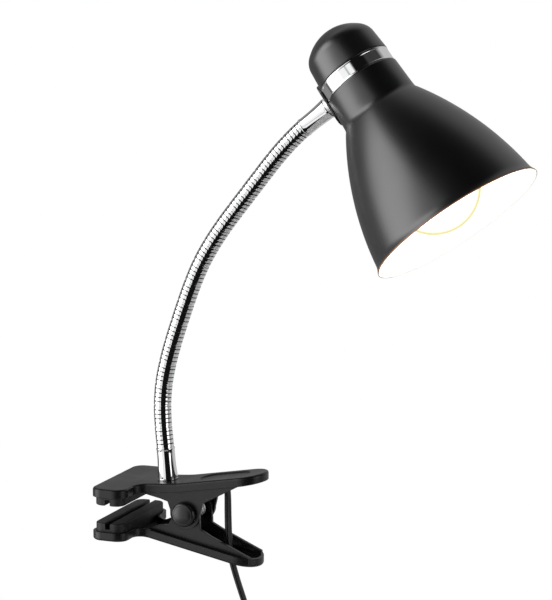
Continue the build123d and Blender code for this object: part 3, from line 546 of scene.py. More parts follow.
def turn(name: str, outline: Outline, sides: int) -> Piece:
    """Turn an outline about the Z axis, as on a lathe.

    Args:
        name: name of the piece.
        outline: radius and height of each of its points; it starts and ends on the axis or at one point.
        sides: how many steps go round.

    Returns:
        The closed piece, about the origin.
    """
    clear()
    bpy.ops.mesh.primitive_circle_add(vertices=3, radius=0.1 * MM)
    piece = begin(name)
    bpy.ops.mesh.merge(type="CENTER")
    bpy.ops.transform.translate(value=(outline[0][0] * MM, 0, outline[0][1] * MM))
    for (radius, height), (wider, higher) in zip(outline, outline[1:]):
        step = ((wider - radius) * MM, 0, (higher - height) * MM)
        bpy.ops.mesh.extrude_vertices_move(TRANSFORM_OT_translate={"value": step})
    bpy.ops.mesh.select_all(action="SELECT")
    bpy.ops.mesh.spin(steps=sides, angle=math.tau, center=(0, 0, 0), axis=(0, 0, 1))
    bpy.ops.mesh.select_all(action="SELECT")
    bpy.ops.mesh.remove_doubles(threshold=0.002 * MM)
    face_out()
    return piece


def arc(start: Spot, middle: Spot, end: Spot, steps: int) -> Outline:
    """Points on the arc through three points, without the first.

    Args:
        start: first point.
        middle: a point on the way.
        end: last point.
        steps: how many points to give.

    Returns:
        The points after the first.
    """
    (ax, ay), (bx, by), (cx, cy) = start, middle, end
    twice = 2 * (ax * (by - cy) + bx * (cy - ay) + cx * (ay - by))
    a2, b2, c2 = ax**2 + ay**2, bx**2 + by**2, cx**2 + cy**2
    x = (a2 * (by - cy) + b2 * (cy - ay) + c2 * (ay - by)) / twice
    y = (a2 * (cx - bx) + b2 * (ax - cx) + c2 * (bx - ax)) / twice
    radius = math.dist((ax, ay), (x, y))
    first, last = math.atan2(ay - y, ax - x), math.atan2(cy - y, cx - x)
    sweep = (last - first + math.pi) % math.tau - math.pi
    turns = (first + sweep * step / steps for step in range(1, steps + 1))
    return [(x + radius * math.cos(t), y + radius * math.sin(t)) for t in turns]


def crown(edge: Spot, top: float, steps: int) -> Outline:
    """Points of a dome from its edge to its top on the axis.

    Args:
        edge: radius and height of its edge.
        top: height of its top.
        steps: how many points to give.

    Returns:
        The points after the edge.
    """
    high = top - edge[1]
    radius = (edge[0] ** 2 + high**2) / (2 * high)
    half = math.asin(edge[0] / radius)
    turns = [half * (1 - step / steps) for step in range(1, steps)]
    return [(radius * math.sin(t), top - radius + radius * math.cos(t)) for t in turns] + [(0.0, top)]


def on_ball(radius: float, centre: float, ups: Sequence[float]) -> Outline:
    """Points on a ball's outline.

    Args:
        radius: the ball's radius.
        centre: height of its centre.
        ups: heights of the points over the centre.

    Returns:
        The points.
    """
    return [(math.sqrt(radius**2 - up**2), centre + up) for up in ups]


def paint(
    piece: Piece, finishes: Sequence[Finish], which: Callable[[Vector, Vector], int] | None = None
) -> None:
    """Give a piece its finishes.

    Args:
        piece: the piece.
        finishes: its finishes.
        which: number of the finish for a face, by its place and normal.
    """
    piece.data.materials.clear()
    for finish in finishes:
        piece.data.materials.append(FINISHES.get(finish))
    if which:
        for face in piece.data.polygons:
            face.material_index = which(face.center, face.normal)


def settle(piece: Piece, place: Matrix, angle: float) -> None:
    """Put a finished piece in its place, with that place in its mesh.

    Args:
        piece: the piece.
        place: where it goes.
        angle: degrees below which its edges are smooth.
    """
    take(piece)
    piece.matrix_world = place
    bpy.ops.object.transform_apply(location=True, rotation=True, scale=True)
    bpy.ops.object.shade_smooth_by_angle(angle=math.radians(angle))


def hand_over(piece: Piece, body: str, finish: Finish, *nodes: str) -> Piece:
    """Let a piece ride on its body and the nodes that it stands for.

    Args:
        piece: the piece.
        body: the body that it moves with.
        finish: the piece's finish; not used.
        nodes: the nodes that it replaces.

    Returns:
        The piece.
    """
    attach(piece, body)
    if nodes:
        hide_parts(*nodes)
    LOG.info("%s rides on %s, in place of %s", piece.name, body, ", ".join(nodes) or "nothing")
    return piece


def deliver(piece: Piece, place: Matrix, angle: float, body: str, finish: Finish, *nodes: str) -> Piece:
    """Paint a piece that has no paint yet, put it in its place and hand it over.

    Args:
        piece: the piece.
        place: where it goes.
        angle: degrees below which its edges are smooth.
        body: the body that it moves with.
        finish: its finish, put on only when the piece has no paint yet.
        nodes: the nodes that it replaces.

    Returns:
        The piece.
    """
    if not piece.data.materials:
        paint(piece, [finish])
    settle(piece, place, angle)
    return hand_over(piece, body, finish, *nodes)


def body_of(node: str) -> str:
    """The body that a node belongs to."""
    return frame["nodes"][node]["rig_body"]


# ---------------------------------------------------------------- where things are
@dataclass(frozen=True)
class Layout:
    """The neck's bend and the head's place."""

    seat_x: float = 35.0
    jaw_top: float = 12.0
    upper_bend: float = 17.0
    upper_rise: float = 4.5
    ferrule: float = 22.0
    link: float = 14.85
    # radius of the ball that each link's knob and each ferrule's end is part of
    knob: float = 5.64
    headings: tuple[float, ...] = (
        95.5, 92, 85.5, 78.5, 74, 71.5, 70.5, 69, 65.5, 60, 55.5, 52.5, 51.5, 51.5, 51, 48, 43.5
    )
    head_rise: float = 38.44
    head_roll: float = 6.85
    head_reach: float = 28.65
    ferrule_at: float = 113.2

    @staticmethod
    def upright(degrees: float) -> Vector:
        """Direction in the neck's upright plane, in degrees above X."""
        angle = math.radians(degrees)
        return Vector((math.cos(angle), 0, math.sin(angle)))

    def seat(self) -> Vector:
        """Foot of the lower ferrule, in metres."""
        rise = (self.seat_x - self.upper_bend) * math.tan(math.radians(self.upper_rise))
        return Vector((self.seat_x, 0, self.jaw_top + rise)) * MM

    def knots(self) -> list[Vector]:
        """Ends of the links, in metres.

        Returns:
            Each link's end, from the lower ferrule to the upper one.
        """
        points = [self.seat() + self.upright(90 + self.upper_rise) * self.ferrule * MM]
        for heading in self.headings:
            points.append(points[-1] + self.upright(heading) * self.link * MM)
        return points

    def tangents(self) -> list[Vector]:
        """Directions of the neck.

        Returns:
            The direction at each of its knots.
        """
        first = (90 + self.upper_rise + self.headings[0]) / 2
        last = (self.headings[-1] + self.head_rise) / 2
        inner = [(a + b) / 2 for a, b in zip(self.headings, self.headings[1:])]
        return [self.upright(degrees) for degrees in (first, *inner, last)]

    @staticmethod
    def frame_of(origin: Vector, x: Vector, z: Vector) -> Matrix:
        """Place with a given origin and directions.

        Args:
            origin: its origin, in metres.
            x: direction of its X.
            z: direction of its Z.

        Returns:
            The place.
        """
        y = z.cross(x)
        place = Matrix((x, y, z)).transposed().to_4x4()
        place.translation = origin
        return place

    def lower_ferrule(self) -> Matrix:
        """Place of the lower ferrule, its Z up the neck."""
        return self.frame_of(self.seat(), Vector((0, 1, 0)), self.upright(90 + self.upper_rise))

    def upper_ferrule(self) -> Matrix:
        """Place of the upper ferrule, its Z towards the head."""
        return self.frame_of(self.knots()[-1], Vector((0, 1, 0)), self.upright(self.head_rise))

    def head(self) -> Matrix:
        """Place of the head.

        Returns:
            A place with its Z from the mouth to the rear cap and its X towards the ferrule.
        """
        reach = self.upright(self.head_rise)
        roll = math.radians(self.head_roll)
        down = self.upright(self.head_rise - 90) * math.cos(roll) + Vector((0, -1, 0)) * math.sin(roll)
        mouth = self.knots()[-1] + reach * (self.ferrule + self.head_reach) * MM + down * self.ferrule_at * MM
        return self.frame_of(mouth, -reach, -down)


LAYOUT = Layout()


# ---------------------------------------------------------------- camera and studio
@dataclass(frozen=True)
class Card:
    """A glowing or dark card that hangs round the lamp, in degrees as the lamp faces its maker."""

    glow: float
    left: float
    right: float
    low: float
    high: float
    soft: float


class Surroundings(Mixer):
    """The world's nodes: cards round the lamp, and plain white where there is nothing."""

    def __init__(self) -> None:
        """Open an empty world."""
        world = bpy.data.worlds.new("studio")
        bpy.context.scene.world = world
        super().__init__(world)
        self.tree.nodes.clear()

    def within(self, value: Socket, low: float, high: float, soft: float) -> Socket:
        """1 between two angles and 0 beyond them.

        Args:
            value: the angle looked at.
            low: the lower angle.
            high: the higher angle.
            soft: half the width over which each end fades.

        Returns:
            The share.
        """
        rise = self.soften(value, low - soft, low + soft)
        return self.sum("MULTIPLY", rise, self.soften(value, high + soft, high - soft))

    def build(self, right: Vector, front: Vector, studio: "Studio") -> None:
        """Hang the cards, whose glows add up.

        Args:
            right: direction to the maker's right.
            front: direction to the maker.
            studio: the studio with its cards and its glow behind and in front.
        """
        way = self.node("TexCoord").outputs["Generated"]
        across, near, up = (
            self.node("VectorMath", {0: way, 1: axis}, operation="DOT_PRODUCT").outputs["Value"]
            for axis in (right, front, right.cross(-front))
        )
        turned = self.sum("MULTIPLY", self.sum("ARCTAN2", across, near), 180 / math.pi)
        raised = self.sum("MULTIPLY", self.sum("ARCSINE", up), 180 / math.pi)
        glow = self.ramp(near, *studio.dusk, studio.behind, studio.before)
        for card in studio.cards:
            beside = self.within(turned, card.left, card.right, card.soft)
            share = self.sum("MULTIPLY", beside, self.within(raised, card.low, card.high, card.soft))
            glow = self.sum("ADD", glow, self.sum("MULTIPLY", share, card.glow))
        lit = self.node("Background", {0: opaque(WHITE), 1: glow})
        white = self.node("Background", {0: opaque(WHITE)})
        both = self.either(self.seen(), lit.outputs[0], white.outputs[0])
        self.fill(self.node("OutputWorld"), 0, both)


@dataclass(frozen=True)
class Studio:
    """Camera, glowing cards, pale floor and white surroundings."""

    camera_at: Point = (669.4, -1399.5, 383.3)
    azimuth: float = 21.63
    elevation: float = 9.1
    lens: float = 150.0
    # the floor's middle along X, its gap under the lamp, its size and where it fades to white
    floor_x: float = 90.0
    floor_gap: float = 1.5
    floor_radius: float = 380.0
    floor_fade: Spot = (200.0, 360.0)
    floor_grey: float = 0.86
    floor_roughness: float = 0.8
    floor_lift: float = 0.42
    # glow behind the lamp and in front of it, and how far forward one gives way to the other
    behind: float = 0.55
    before: float = 0.006
    dusk: Spot = (-0.42, -0.15)
    cards: tuple[Card, ...] = (
        Card(3.3, -102, -60, -24, 42, 6),
        Card(0.9, -106, -60, -95, -24, 5),
        Card(1.0, -62, -38, -95, 38, 3),
        Card(1.0, -36, -22, -95, 38, 3),
        Card(1.8, 43, 68, -12, 18, 4),
        Card(0.4, 51, 110, -75, -14, 4),
        Card(0.35, 68, 110, -14, 15, 5),
        Card(0.04, 30, 110, 15, 60, 8),
        Card(-0.3, -176, -108, -70, 40, 4),
    )

    def away(self, turned: float) -> Vector:
        """Level direction from the lamp, in degrees to the right of the camera, as the camera sees it."""
        side = math.radians(self.azimuth - 90 + turned)
        return Vector((math.cos(side), math.sin(side), 0))

    def place_camera(self) -> None:
        """Add the camera and look through it."""
        data = bpy.data.cameras.new("camera")
        data.sensor_fit = "HORIZONTAL"
        data.sensor_width = 36.0
        data.lens = self.lens
        data.clip_start = 0.01
        camera = link_up("camera", data)
        camera.location = Vector(self.camera_at) * MM
        camera.rotation_euler = (math.radians(90 - self.elevation), 0, math.radians(self.azimuth))
        bpy.context.scene.camera = camera

    def floor(self) -> None:
        """Lay the pale floor, which runs out to white and keeps the lamp's shadow."""
        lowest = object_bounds()[0][2]
        middle = (self.floor_x * MM, 0, lowest)
        clear()
        bpy.ops.mesh.primitive_circle_add(
            vertices=96,
            radius=self.floor_radius * MM,
            fill_type="NGON",
            location=(middle[0], 0, lowest - self.floor_gap * MM),
        )
        slab = bpy.context.object
        slab.name = "floor"
        bpy.ops.object.transform_apply(location=True, rotation=True, scale=True)
        recipe = Recipe("pale_floor")
        recipe.feed({"Base Color": opaque([self.floor_grey] * 3), "Roughness": self.floor_roughness})
        bare = recipe.shader.outputs[0]
        out = recipe.node("VectorMath", {0: recipe.place, 1: middle}, operation="DISTANCE").outputs["Value"]
        far = recipe.soften(out, self.floor_fade[0] * MM, self.floor_fade[1] * MM)
        lifted = recipe.node("AddShader", {0: bare, 1: recipe.emit(WHITE, self.floor_lift)}).outputs[0]
        seen = recipe.seen()
        plain = recipe.either(seen, bare, lifted)
        faded = recipe.either(recipe.sum("MULTIPLY", far, seen), plain, recipe.emit(WHITE))
        recipe.fill(recipe.output, 0, faded)
        slab.data.materials.append(recipe.material)
        slab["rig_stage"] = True

    def build(self) -> None:
        """Set up the whole studio."""
        bpy.context.scene.view_settings.view_transform = "Standard"
        self.place_camera()
        Surroundings().build(self.away(90), self.away(0), self)
        self.floor()
        LOG.info("studio ready")


# ---------------------------------------------------------------- cord
@dataclass(frozen=True)
class MainsLead:
    """The flat lead from the clip under the handle to its plug, with its unseen length in a coil."""

    width: float = 5.2
    thick: float = 3.2
    length: float = 1770.0
    route: tuple[Point, ...] = (
        (72.256, 0, 14.709),
        (74.817, 0, 15.160),
        (77.7, 0, 13.9),
        (79.4, 0, 11),
        (79.4, 0, -14),
        (80.6, 0, -34),
        (85.2, 0, -50),
        (91.3, 0, -67.2),
        (95.4, 0, -79),
        (97.6, -1.2, -90),
        (98.0, -3.6, -101),
    )
    inner_route: tuple[Point, ...] = (
        (35.549, 0, 6.438),
        (35.9, 0, 3.2),
        (39.4, 0, 1.9),
        (49, 0, 4.6),
        (57, 0, 9.4),
        (63.393, 0, 13.146),
        (72.256, 0, 14.709),
    )
    tail: tuple[Point, ...] = ((97.6, 4.9, -129), (97.6, 4.6, -135), (97.6, 4.6, -140.5))
    coil_centre: Spot = (66.2, -115.0)
    # radii and places across that the coil's turns can have, and the pair that each turn takes
    layers: Point = (25.0, 28.2, 31.4)
    columns: Point = (-5.2, 0.0, 5.2)
    cells: tuple[tuple[int, int], ...] = (
        (2, 0), (2, 1), (1, 1), (1, 0), (0, 0), (0, 1), (0, 2), (1, 2), (2, 2)
    )
    points_a_turn: int = 14
    # share of a turn over which the lead steps to the next pair
    step_over: float = 0.16
    # degrees that the flat side is turned at the first points of the route
    twists: tuple[float, ...] = (0, 0, 0, 14, 42, 12, 8, 5, 0)
    steps_an_edge: int = 8

    def section(self) -> Piece:
        """Draw the lead's flat section.

        Returns:
            A closed curve that is not itself shown.
        """
        data = bpy.data.curves.new("lead_section", "CURVE")
        data.dimensions = "2D"
        half, edge = (self.width - self.thick) / 2, self.thick / 2
        corners = []
        for side in (1, -1):
            for step in range(self.steps_an_edge + 1):
                angle = math.radians(180 * step / self.steps_an_edge - side * 90)
                corners.append((side * half + edge * math.cos(angle), edge * math.sin(angle)))
        line = data.splines.new("POLY")
        line.points.add(len(corners) - 1)
        for point, (x, y) in zip(line.points, corners):
            point.co = (x * MM, y * MM, 0, 1)
        line.use_cyclic_u = True
        section = link_up("lead_section", data)
        section.hide_render = True
        section.hide_viewport = True
        section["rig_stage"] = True
        return section

    def coil(self) -> list[Point]:
        """Wind the coil's turns, each beside or on the one before.

        Returns:
            Points of the turns.
        """
        points = []
        grow = 1 / math.cos(math.pi / self.points_a_turn)
        middle_x, middle_z = self.coil_centre
        last = len(self.cells) - 1
        for number in range(len(self.cells) * self.points_a_turn + 1):
            turns = number / self.points_a_turn
            # the nearest whole turn, at which the lead steps over to that turn's pair
            here = min(int(turns + 0.5 - 1e-9), last)
            (was_layer, was_column), (layer, column) = self.cells[max(here - 1, 0)], self.cells[here]
            share = min(max((turns - here + self.step_over / 2) / self.step_over, 0.0), 1.0)
            share = share * share * (3 - 2 * share)
            radius = self.layers[was_layer] * (1 - share) + self.layers[layer] * share
            aside = self.columns[was_column] * (1 - share) + self.columns[column] * share
            across, down = math.cos(math.tau * turns), math.sin(math.tau * turns)
            points.append((middle_x + grow * radius * across, aside, middle_z - grow * radius * down))
        return points

    def lay(
        self, name: str, points: Sequence[Point], section: Piece, twists: Sequence[float] = (0,)
    ) -> Piece:
        """Lay the lead on one smooth line.

        Args:
            name: name of the piece.
            points: the line's points.
            section: the lead's section.
            twists: degrees that its flat side is turned at the first points; the last one holds to the end.

        Returns:
            The piece.
        """
        data = bpy.data.curves.new(name, "CURVE")
        data.dimensions = "3D"
        line = data.splines.new("NURBS")
        line.points.add(len(points) - 1)
        for number, (point, place) in enumerate(zip(line.points, points)):
            point.co = (*(c * MM for c in place), 1)
            point.tilt = math.radians(twists[min(number, len(twists) - 1)])
        line.use_endpoint_u = True
        line.order_u = 3
        data.resolution_u = 6
        data.bevel_mode = "OBJECT"
        data.bevel_object = section
        data.use_fill_caps = True
        data.twist_mode = "MINIMUM"
        data.materials.append(FINISHES.get(Finishes.CORD))
        return link_up(name, data)

    def build(self) -> Piece:
        """Make the lead and the short run inside the clamp.

        Returns:
            The lead.
        """
        section = self.section()
        inner = self.lay("inner_run", self.inner_route, section)
        hand_over(inner, "base", Finishes.CORD, "inner_lead")
        lead = self.lay("mains_lead", (*self.route, *self.coil(), *self.tail), section, self.twists)
        return hand_over(lead, "base", Finishes.CORD, "cord", "cord_coil")


@dataclass(frozen=True)
class Plug:
    """Flat two-pin plug on the end of the lead, and the tie round its coil."""

    top: Point = (97.6, 4.6, -139.0)
    # depth below the top, width and thickness of each section
    sections: tuple[Point, ...] = (
        (0, 7.0, 5.0),
        (1.2, 7.8, 5.8),
        (3.2, 7.6, 5.6),
        (4.0, 8.8, 6.8),
        (6.0, 8.8, 6.8),
        (6.8, 10.2, 8.0),
        (9.0, 10.8, 8.6),
        (12.0, 18.5, 11.0),
        (16.0, 23.0, 12.8),
        (21.0, 24.6, 13.2),
        (26.0, 26.4, 13.4),
        (31.0, 32.6, 13.6),
        (33.6, 34.8, 13.5),
        (35.0, 35.0, 13.3),
        (35.5, 34.2, 12.6),
    )
    pin_pitch: float = 18.6
    pin_radius: float = 2.0
    sleeve: float = 10.0
    sleeve_play: float = 0.01
    sleeve_wall: float = 0.11
    tie_play: float = 0.15
    tie_corner: float = 1.5
    tie_width: float = 5.0
    tie_wall: float = 0.5

    def body(self) -> Piece:
        """Model the moulded body by drawing a section down and widening it.

        Returns:
            The body.
        """
        clear()
        bpy.ops.mesh.primitive_circle_add(vertices=48, radius=MM, fill_type="NGON")
        piece = begin("plug_moulding")
        depth, wide, thick = self.sections[0]
        bpy.ops.transform.resize(value=(thick / 2, wide / 2, 1), center_override=(0, 0, 0))
        for deeper, wider, thicker in self.sections[1:]:
            draw_out(0, 0, depth - deeper)
            ratio = (thicker / thick, wider / wide, 1)
            bpy.ops.transform.resize(value=ratio, center_override=(0, 0, -deeper * MM))
            depth, wide, thick = deeper, wider, thicker
        face_out()
        top = Matrix.Translation(Vector(self.top) * MM)
        return deliver(piece, top, 30, "base", Finishes.PLUG, "plug_body")

    def sleeves(self) -> list[Piece]:
        """Turn an insulating sleeve for each pin.

        Returns:
            The two sleeves.
        """
        inner = self.pin_radius + self.sleeve_play
        outer = inner + self.sleeve_wall
        foot = [(outer, 0.3 - self.sleeve), (inner + 0.02, -self.sleeve), (inner, -self.sleeve)]
        made = []
        for number, side in enumerate((-1, 1), 1):
            piece = turn(f"pin_sleeve_{number}", [(inner, 0), (outer, 0), *foot, (inner, 0)], 32)
            spot = Vector(self.top) + Vector((0, side * self.pin_pitch / 2, 0.2 - self.sections[-1][0]))
            made.append(deliver(piece, Matrix.Translation(spot * MM), 38, "base", Finishes.PLUG))
        return made

    def tie(self, lead: MainsLead) -> Piece:
        """Wrap a strip round the coil's turns at one side.

        Args:
            lead: the lead with the coil.

        Returns:
            The strip.
        """
        clear()
        bpy.ops.mesh.primitive_plane_add(size=2 * MM)
        piece = begin("coil_tie")
        deep = (lead.layers[-1] - lead.layers[0] + lead.thick) / 2 + self.tie_play
        wide = (lead.columns[-1] - lead.columns[0] + lead.width) / 2 + self.tie_play
        bpy.ops.transform.resize(value=(deep, wide, 1), center_override=(0, 0, 0))
        bpy.ops.mesh.bevel(offset=self.tie_corner * MM, segments=4, affect="VERTICES")
        bpy.ops.mesh.delete(type="ONLY_FACE")
        bpy.ops.mesh.select_all(action="SELECT")
        bpy.ops.mesh.extrude_edges_move(TRANSFORM_OT_translate={"value": (0, 0, self.tie_width * MM)})
        face_out()
        skin = piece.modifiers.new("strip", "SOLIDIFY")
        skin.thickness = self.tie_wall * MM
        skin.offset = 1.0
        finish_with(piece, skin)
        middle = Vector((lead.coil_centre[0] - lead.layers[1], 0, lead.coil_centre[1] - self.tie_width / 2))
        return deliver(piece, Matrix.Translation(middle * MM), 38, "base", Finishes.PLUG)


# ---------------------------------------------------------------- gooseneck
class Tone(IntEnum):
    """Which of a neck link's finishes a face takes: bright chrome, or near-black painted shade."""

    BRIGHT = 0
    OILED = 1


@dataclass(frozen=True)
class Gooseneck:
    """Wound neck of flat bands between two turned ferrules."""

    crest: float = 6.0
    groove: float = 5.5
    # ends of each band along its link
    bands: tuple[Spot, ...] = ((0.68, 2.71), (3.23, 5.68), (6.2, 8.65), (9.17, 11.62), (12.14, 14.17))
    # how far inside its crest and its end each point of a band's rounded edge lies
    edge: tuple[Spot, ...] = ((0.12, 0.0), (0.03, 0.12), (0.01, 0.4))
    # how far inside the groove the bands reach
    root: float = 0.1
    lean: float = 3.0
    sides: int = 48
    cup: float = 5.78
    # heights of the cup's ceiling, its points and its rim, and of the knob's points over its centre
    cup_top: float = 3.7
    cup_points: tuple[float, ...] = (3.4, 3.0, 2.6, 2.2, 1.9)
    cup_rim: float = 1.95
    knob_points: tuple[float, ...] = (-1.24, -0.8, -0.3, 0.3, 0.8, 1.3, 1.8, 2.2)
    # how far below the link's end its knob starts
    shoulder: float = 1.3
    # how steeply a band's face may lean before it counts as a wall of the groove and is painted dark as shade
    steep: float = 0.45

    @staticmethod
    def tone(piece: Piece, shaded: Callable[[Vector, Vector], bool]) -> None:
        """Paint a part of the link in chrome and painted shade.

        Args:
            piece: the part.
            shaded: says yes to the place and normal of a face that takes painted shade instead of chrome.
        """
        finishes = [Finishes.CHROME, Finishes.GROOVE]
        paint(piece, finishes, lambda *face: Tone.OILED if shaded(*face) else Tone.BRIGHT)

    def band(self, number: int) -> Piece:
        """Turn one band and lean it as the winding does.

        Args:
            number: which band of the link, from 0.

        Returns:
            The band, at its height on a straight link.
        """
        start, end = self.bands[number]
        middle, half = (start + end) / 2, (end - start) / 2
        root = self.groove - self.root
        # the first band stands clear of the cup
        foot = self.cup + 0.01 if number == 0 else root
        edge = [(self.crest - inside, half - back) for inside, back in self.edge]
        outline = [(foot, 0.04 - half), *((radius, -up) for radius, up in edge), (self.crest, 0.0)]
        outline += [*edge[::-1], (root, half - 0.04)]
        if number == 0:
            outline += [(root, 0.25), (foot, -0.1)]
        outline += [outline[0]]
        name = f"band_{number}"
        turn(name, outline, self.sides)
        piece = begin(name)
        bpy.ops.transform.rotate(value=math.radians(self.lean), orient_axis="Y", center_override=(0, 0, 0))
        bpy.ops.transform.translate(value=(0, 0, middle * MM))
        bpy.ops.object.mode_set(mode="OBJECT")
        # painted shade on the band's groove walls and rounded edges
        self.tone(piece, lambda place, normal: abs(normal.z) > self.steep)
        return piece

    def core(self) -> Piece:
        """Turn the tube under the bands, with a bright knob at its top and a cup for one at its foot; below
        the knob it takes painted shade.

        Returns:
            The tube, on a straight link.
        """
        length, below = LAYOUT.link, LAYOUT.link - self.shoulder
        cup = [(0, self.cup_top), *on_ball(self.cup, 0, self.cup_points), (self.groove, self.cup_rim)]
        ball = on_ball(LAYOUT.knob, length, self.knob_points)
        outline = [*cup, (self.groove, below), *ball, (0, ball[-1][1])]
        piece = turn("core", outline, self.sides)
        # painted shade on all of the tube below the knob's shoulder
        self.tone(piece, lambda place, normal: place.z <= below * MM)
        return piece

    def link(self) -> Piece:
        """Join one link's core and bands.

        Returns:
            The straight link.
        """
        parts = [self.core(), *(self.band(number) for number in range(len(self.bands)))]
        clear()
        for part in parts:
            part.select_set(True)
        bpy.context.view_layer.objects.active = parts[0]
        bpy.ops.object.join()
        parts[0].name = "link_pattern"
        return parts[0]

    def bend_line(self) -> Piece:
        """Draw the line that the straight neck is bent along.

        Returns:
            The line.
        """
        data = bpy.data.curves.new("neck_line", "CURVE")
        data.dimensions = "3D"
        line = data.splines.new("BEZIER")
        knots, tangents = LAYOUT.knots(), LAYOUT.tangents()
        line.bezier_points.add(len(knots) - 1)
        third = LAYOUT.link * MM / 3
        for point, knot, tangent in zip(line.bezier_points, knots, tangents):
            point.co = knot
            point.handle_left_type = point.handle_right_type = "FREE"
            point.handle_left = knot - tangent * third
            point.handle_right = knot + tangent * third
        data.resolution_u = 32
        return link_up("neck_line", data)

    def build(self) -> None:
        """Copy the link up the neck and bend each copy along the neck's line."""
        pattern, bend = self.link(), self.bend_line()
        for number in range(1, len(LAYOUT.headings) + 1):
            piece = link_up(f"neck_bands_{number:02d}", pattern.data.copy())
            take(piece)
            piece.location = (0, 0, (number - 1) * LAYOUT.link * MM)
            bpy.ops.object.transform_apply(location=True, rotation=False, scale=False)
            modifier = piece.modifiers.new("bend", "CURVE")
            modifier.object = bend
            modifier.deform_axis = "POS_Z"
            finish_with(piece, modifier)
            node = f"neck_link_{number:02d}"
            deliver(piece, Matrix.Identity(4), 25, body_of(node), Finishes.CHROME, node)
        bpy.data.objects.remove(pattern)
        bpy.data.objects.remove(bend)


@dataclass(frozen=True)
class Ferrules:
    """The two flared ferrules with their rolled lips, by radius and height."""

    foot: tuple[Spot, ...] = (
        (2.7, -7.0), (5.0, -7.0), (5.0, 0.0), (6.9, 0.0), (7.06, 0.25), (7.06, 0.95), (6.95, 1.15)
    )
    # start, middle and end of the lower flare and of the upper one
    flare: tuple[Spot, ...] = ((6.95, 1.5), (6.42, 8.0), (6.18, 20.6))
    swell: tuple[Spot, ...] = ((6.18, 1.4), (6.42, 14.0), (6.92, 20.4))
    lip: tuple[Spot, ...] = (
        (6.28, 20.9), (6.42, 21.2), (6.46, 21.6), (6.4, 21.95), (6.15, 22.15), (5.63, 22.15)
    )
    knob_points: tuple[float, ...] = (0.2, 0.8, 1.3, 1.8, 2.2)
    lower_bore: tuple[Spot, ...] = ((2.4, 24.2), (2.4, 4.0), (2.7, 3.7), (2.7, -7.0))
    mouth: tuple[Spot, ...] = (
        (5.76, 0.0), (6.1, -0.05), (6.38, 0.1), (6.45, 0.5), (6.4, 0.85), (6.24, 1.1)
    )
    collar: tuple[Spot, ...] = ((7.04, 20.6), (7.06, 21.6), (6.85, 21.9), (4.05, 21.9), (4.05, 11.0))
    upper_bore: tuple[Spot, ...] = ((2.4, 11.0), (2.4, 4.3), (3.7, 4.2), (5.76, 3.4), (5.76, 0.0))
    steps: int = 10
    sides: int = 96
    smooth: float = 24.0

    def make(self, name: str, outline: Outline, place: Matrix, body: str) -> None:
        """Turn one ferrule and put it in place.

        Args:
            name: name of the node that it replaces.
            outline: its outline.
            place: where it goes.
            body: the body that it rides on.
        """
        piece = turn(f"{name}_turned", outline, self.sides)
        deliver(piece, place, self.smooth, body, Finishes.CHROME, name)

    def build(self) -> None:
        """Turn both ferrules."""
        flare, swell = ([line[0], *arc(*line, self.steps)] for line in (self.flare, self.swell))
        ball = on_ball(LAYOUT.knob, LAYOUT.ferrule, self.knob_points)
        lower = [*self.foot, *flare, *self.lip, *ball, *self.lower_bore]
        self.make("lower_ferrule", lower, LAYOUT.lower_ferrule(), "base")
        upper = [*self.mouth, *swell, *self.collar, *self.upper_bore]
        self.make("upper_ferrule", upper, LAYOUT.upper_ferrule(), "head")


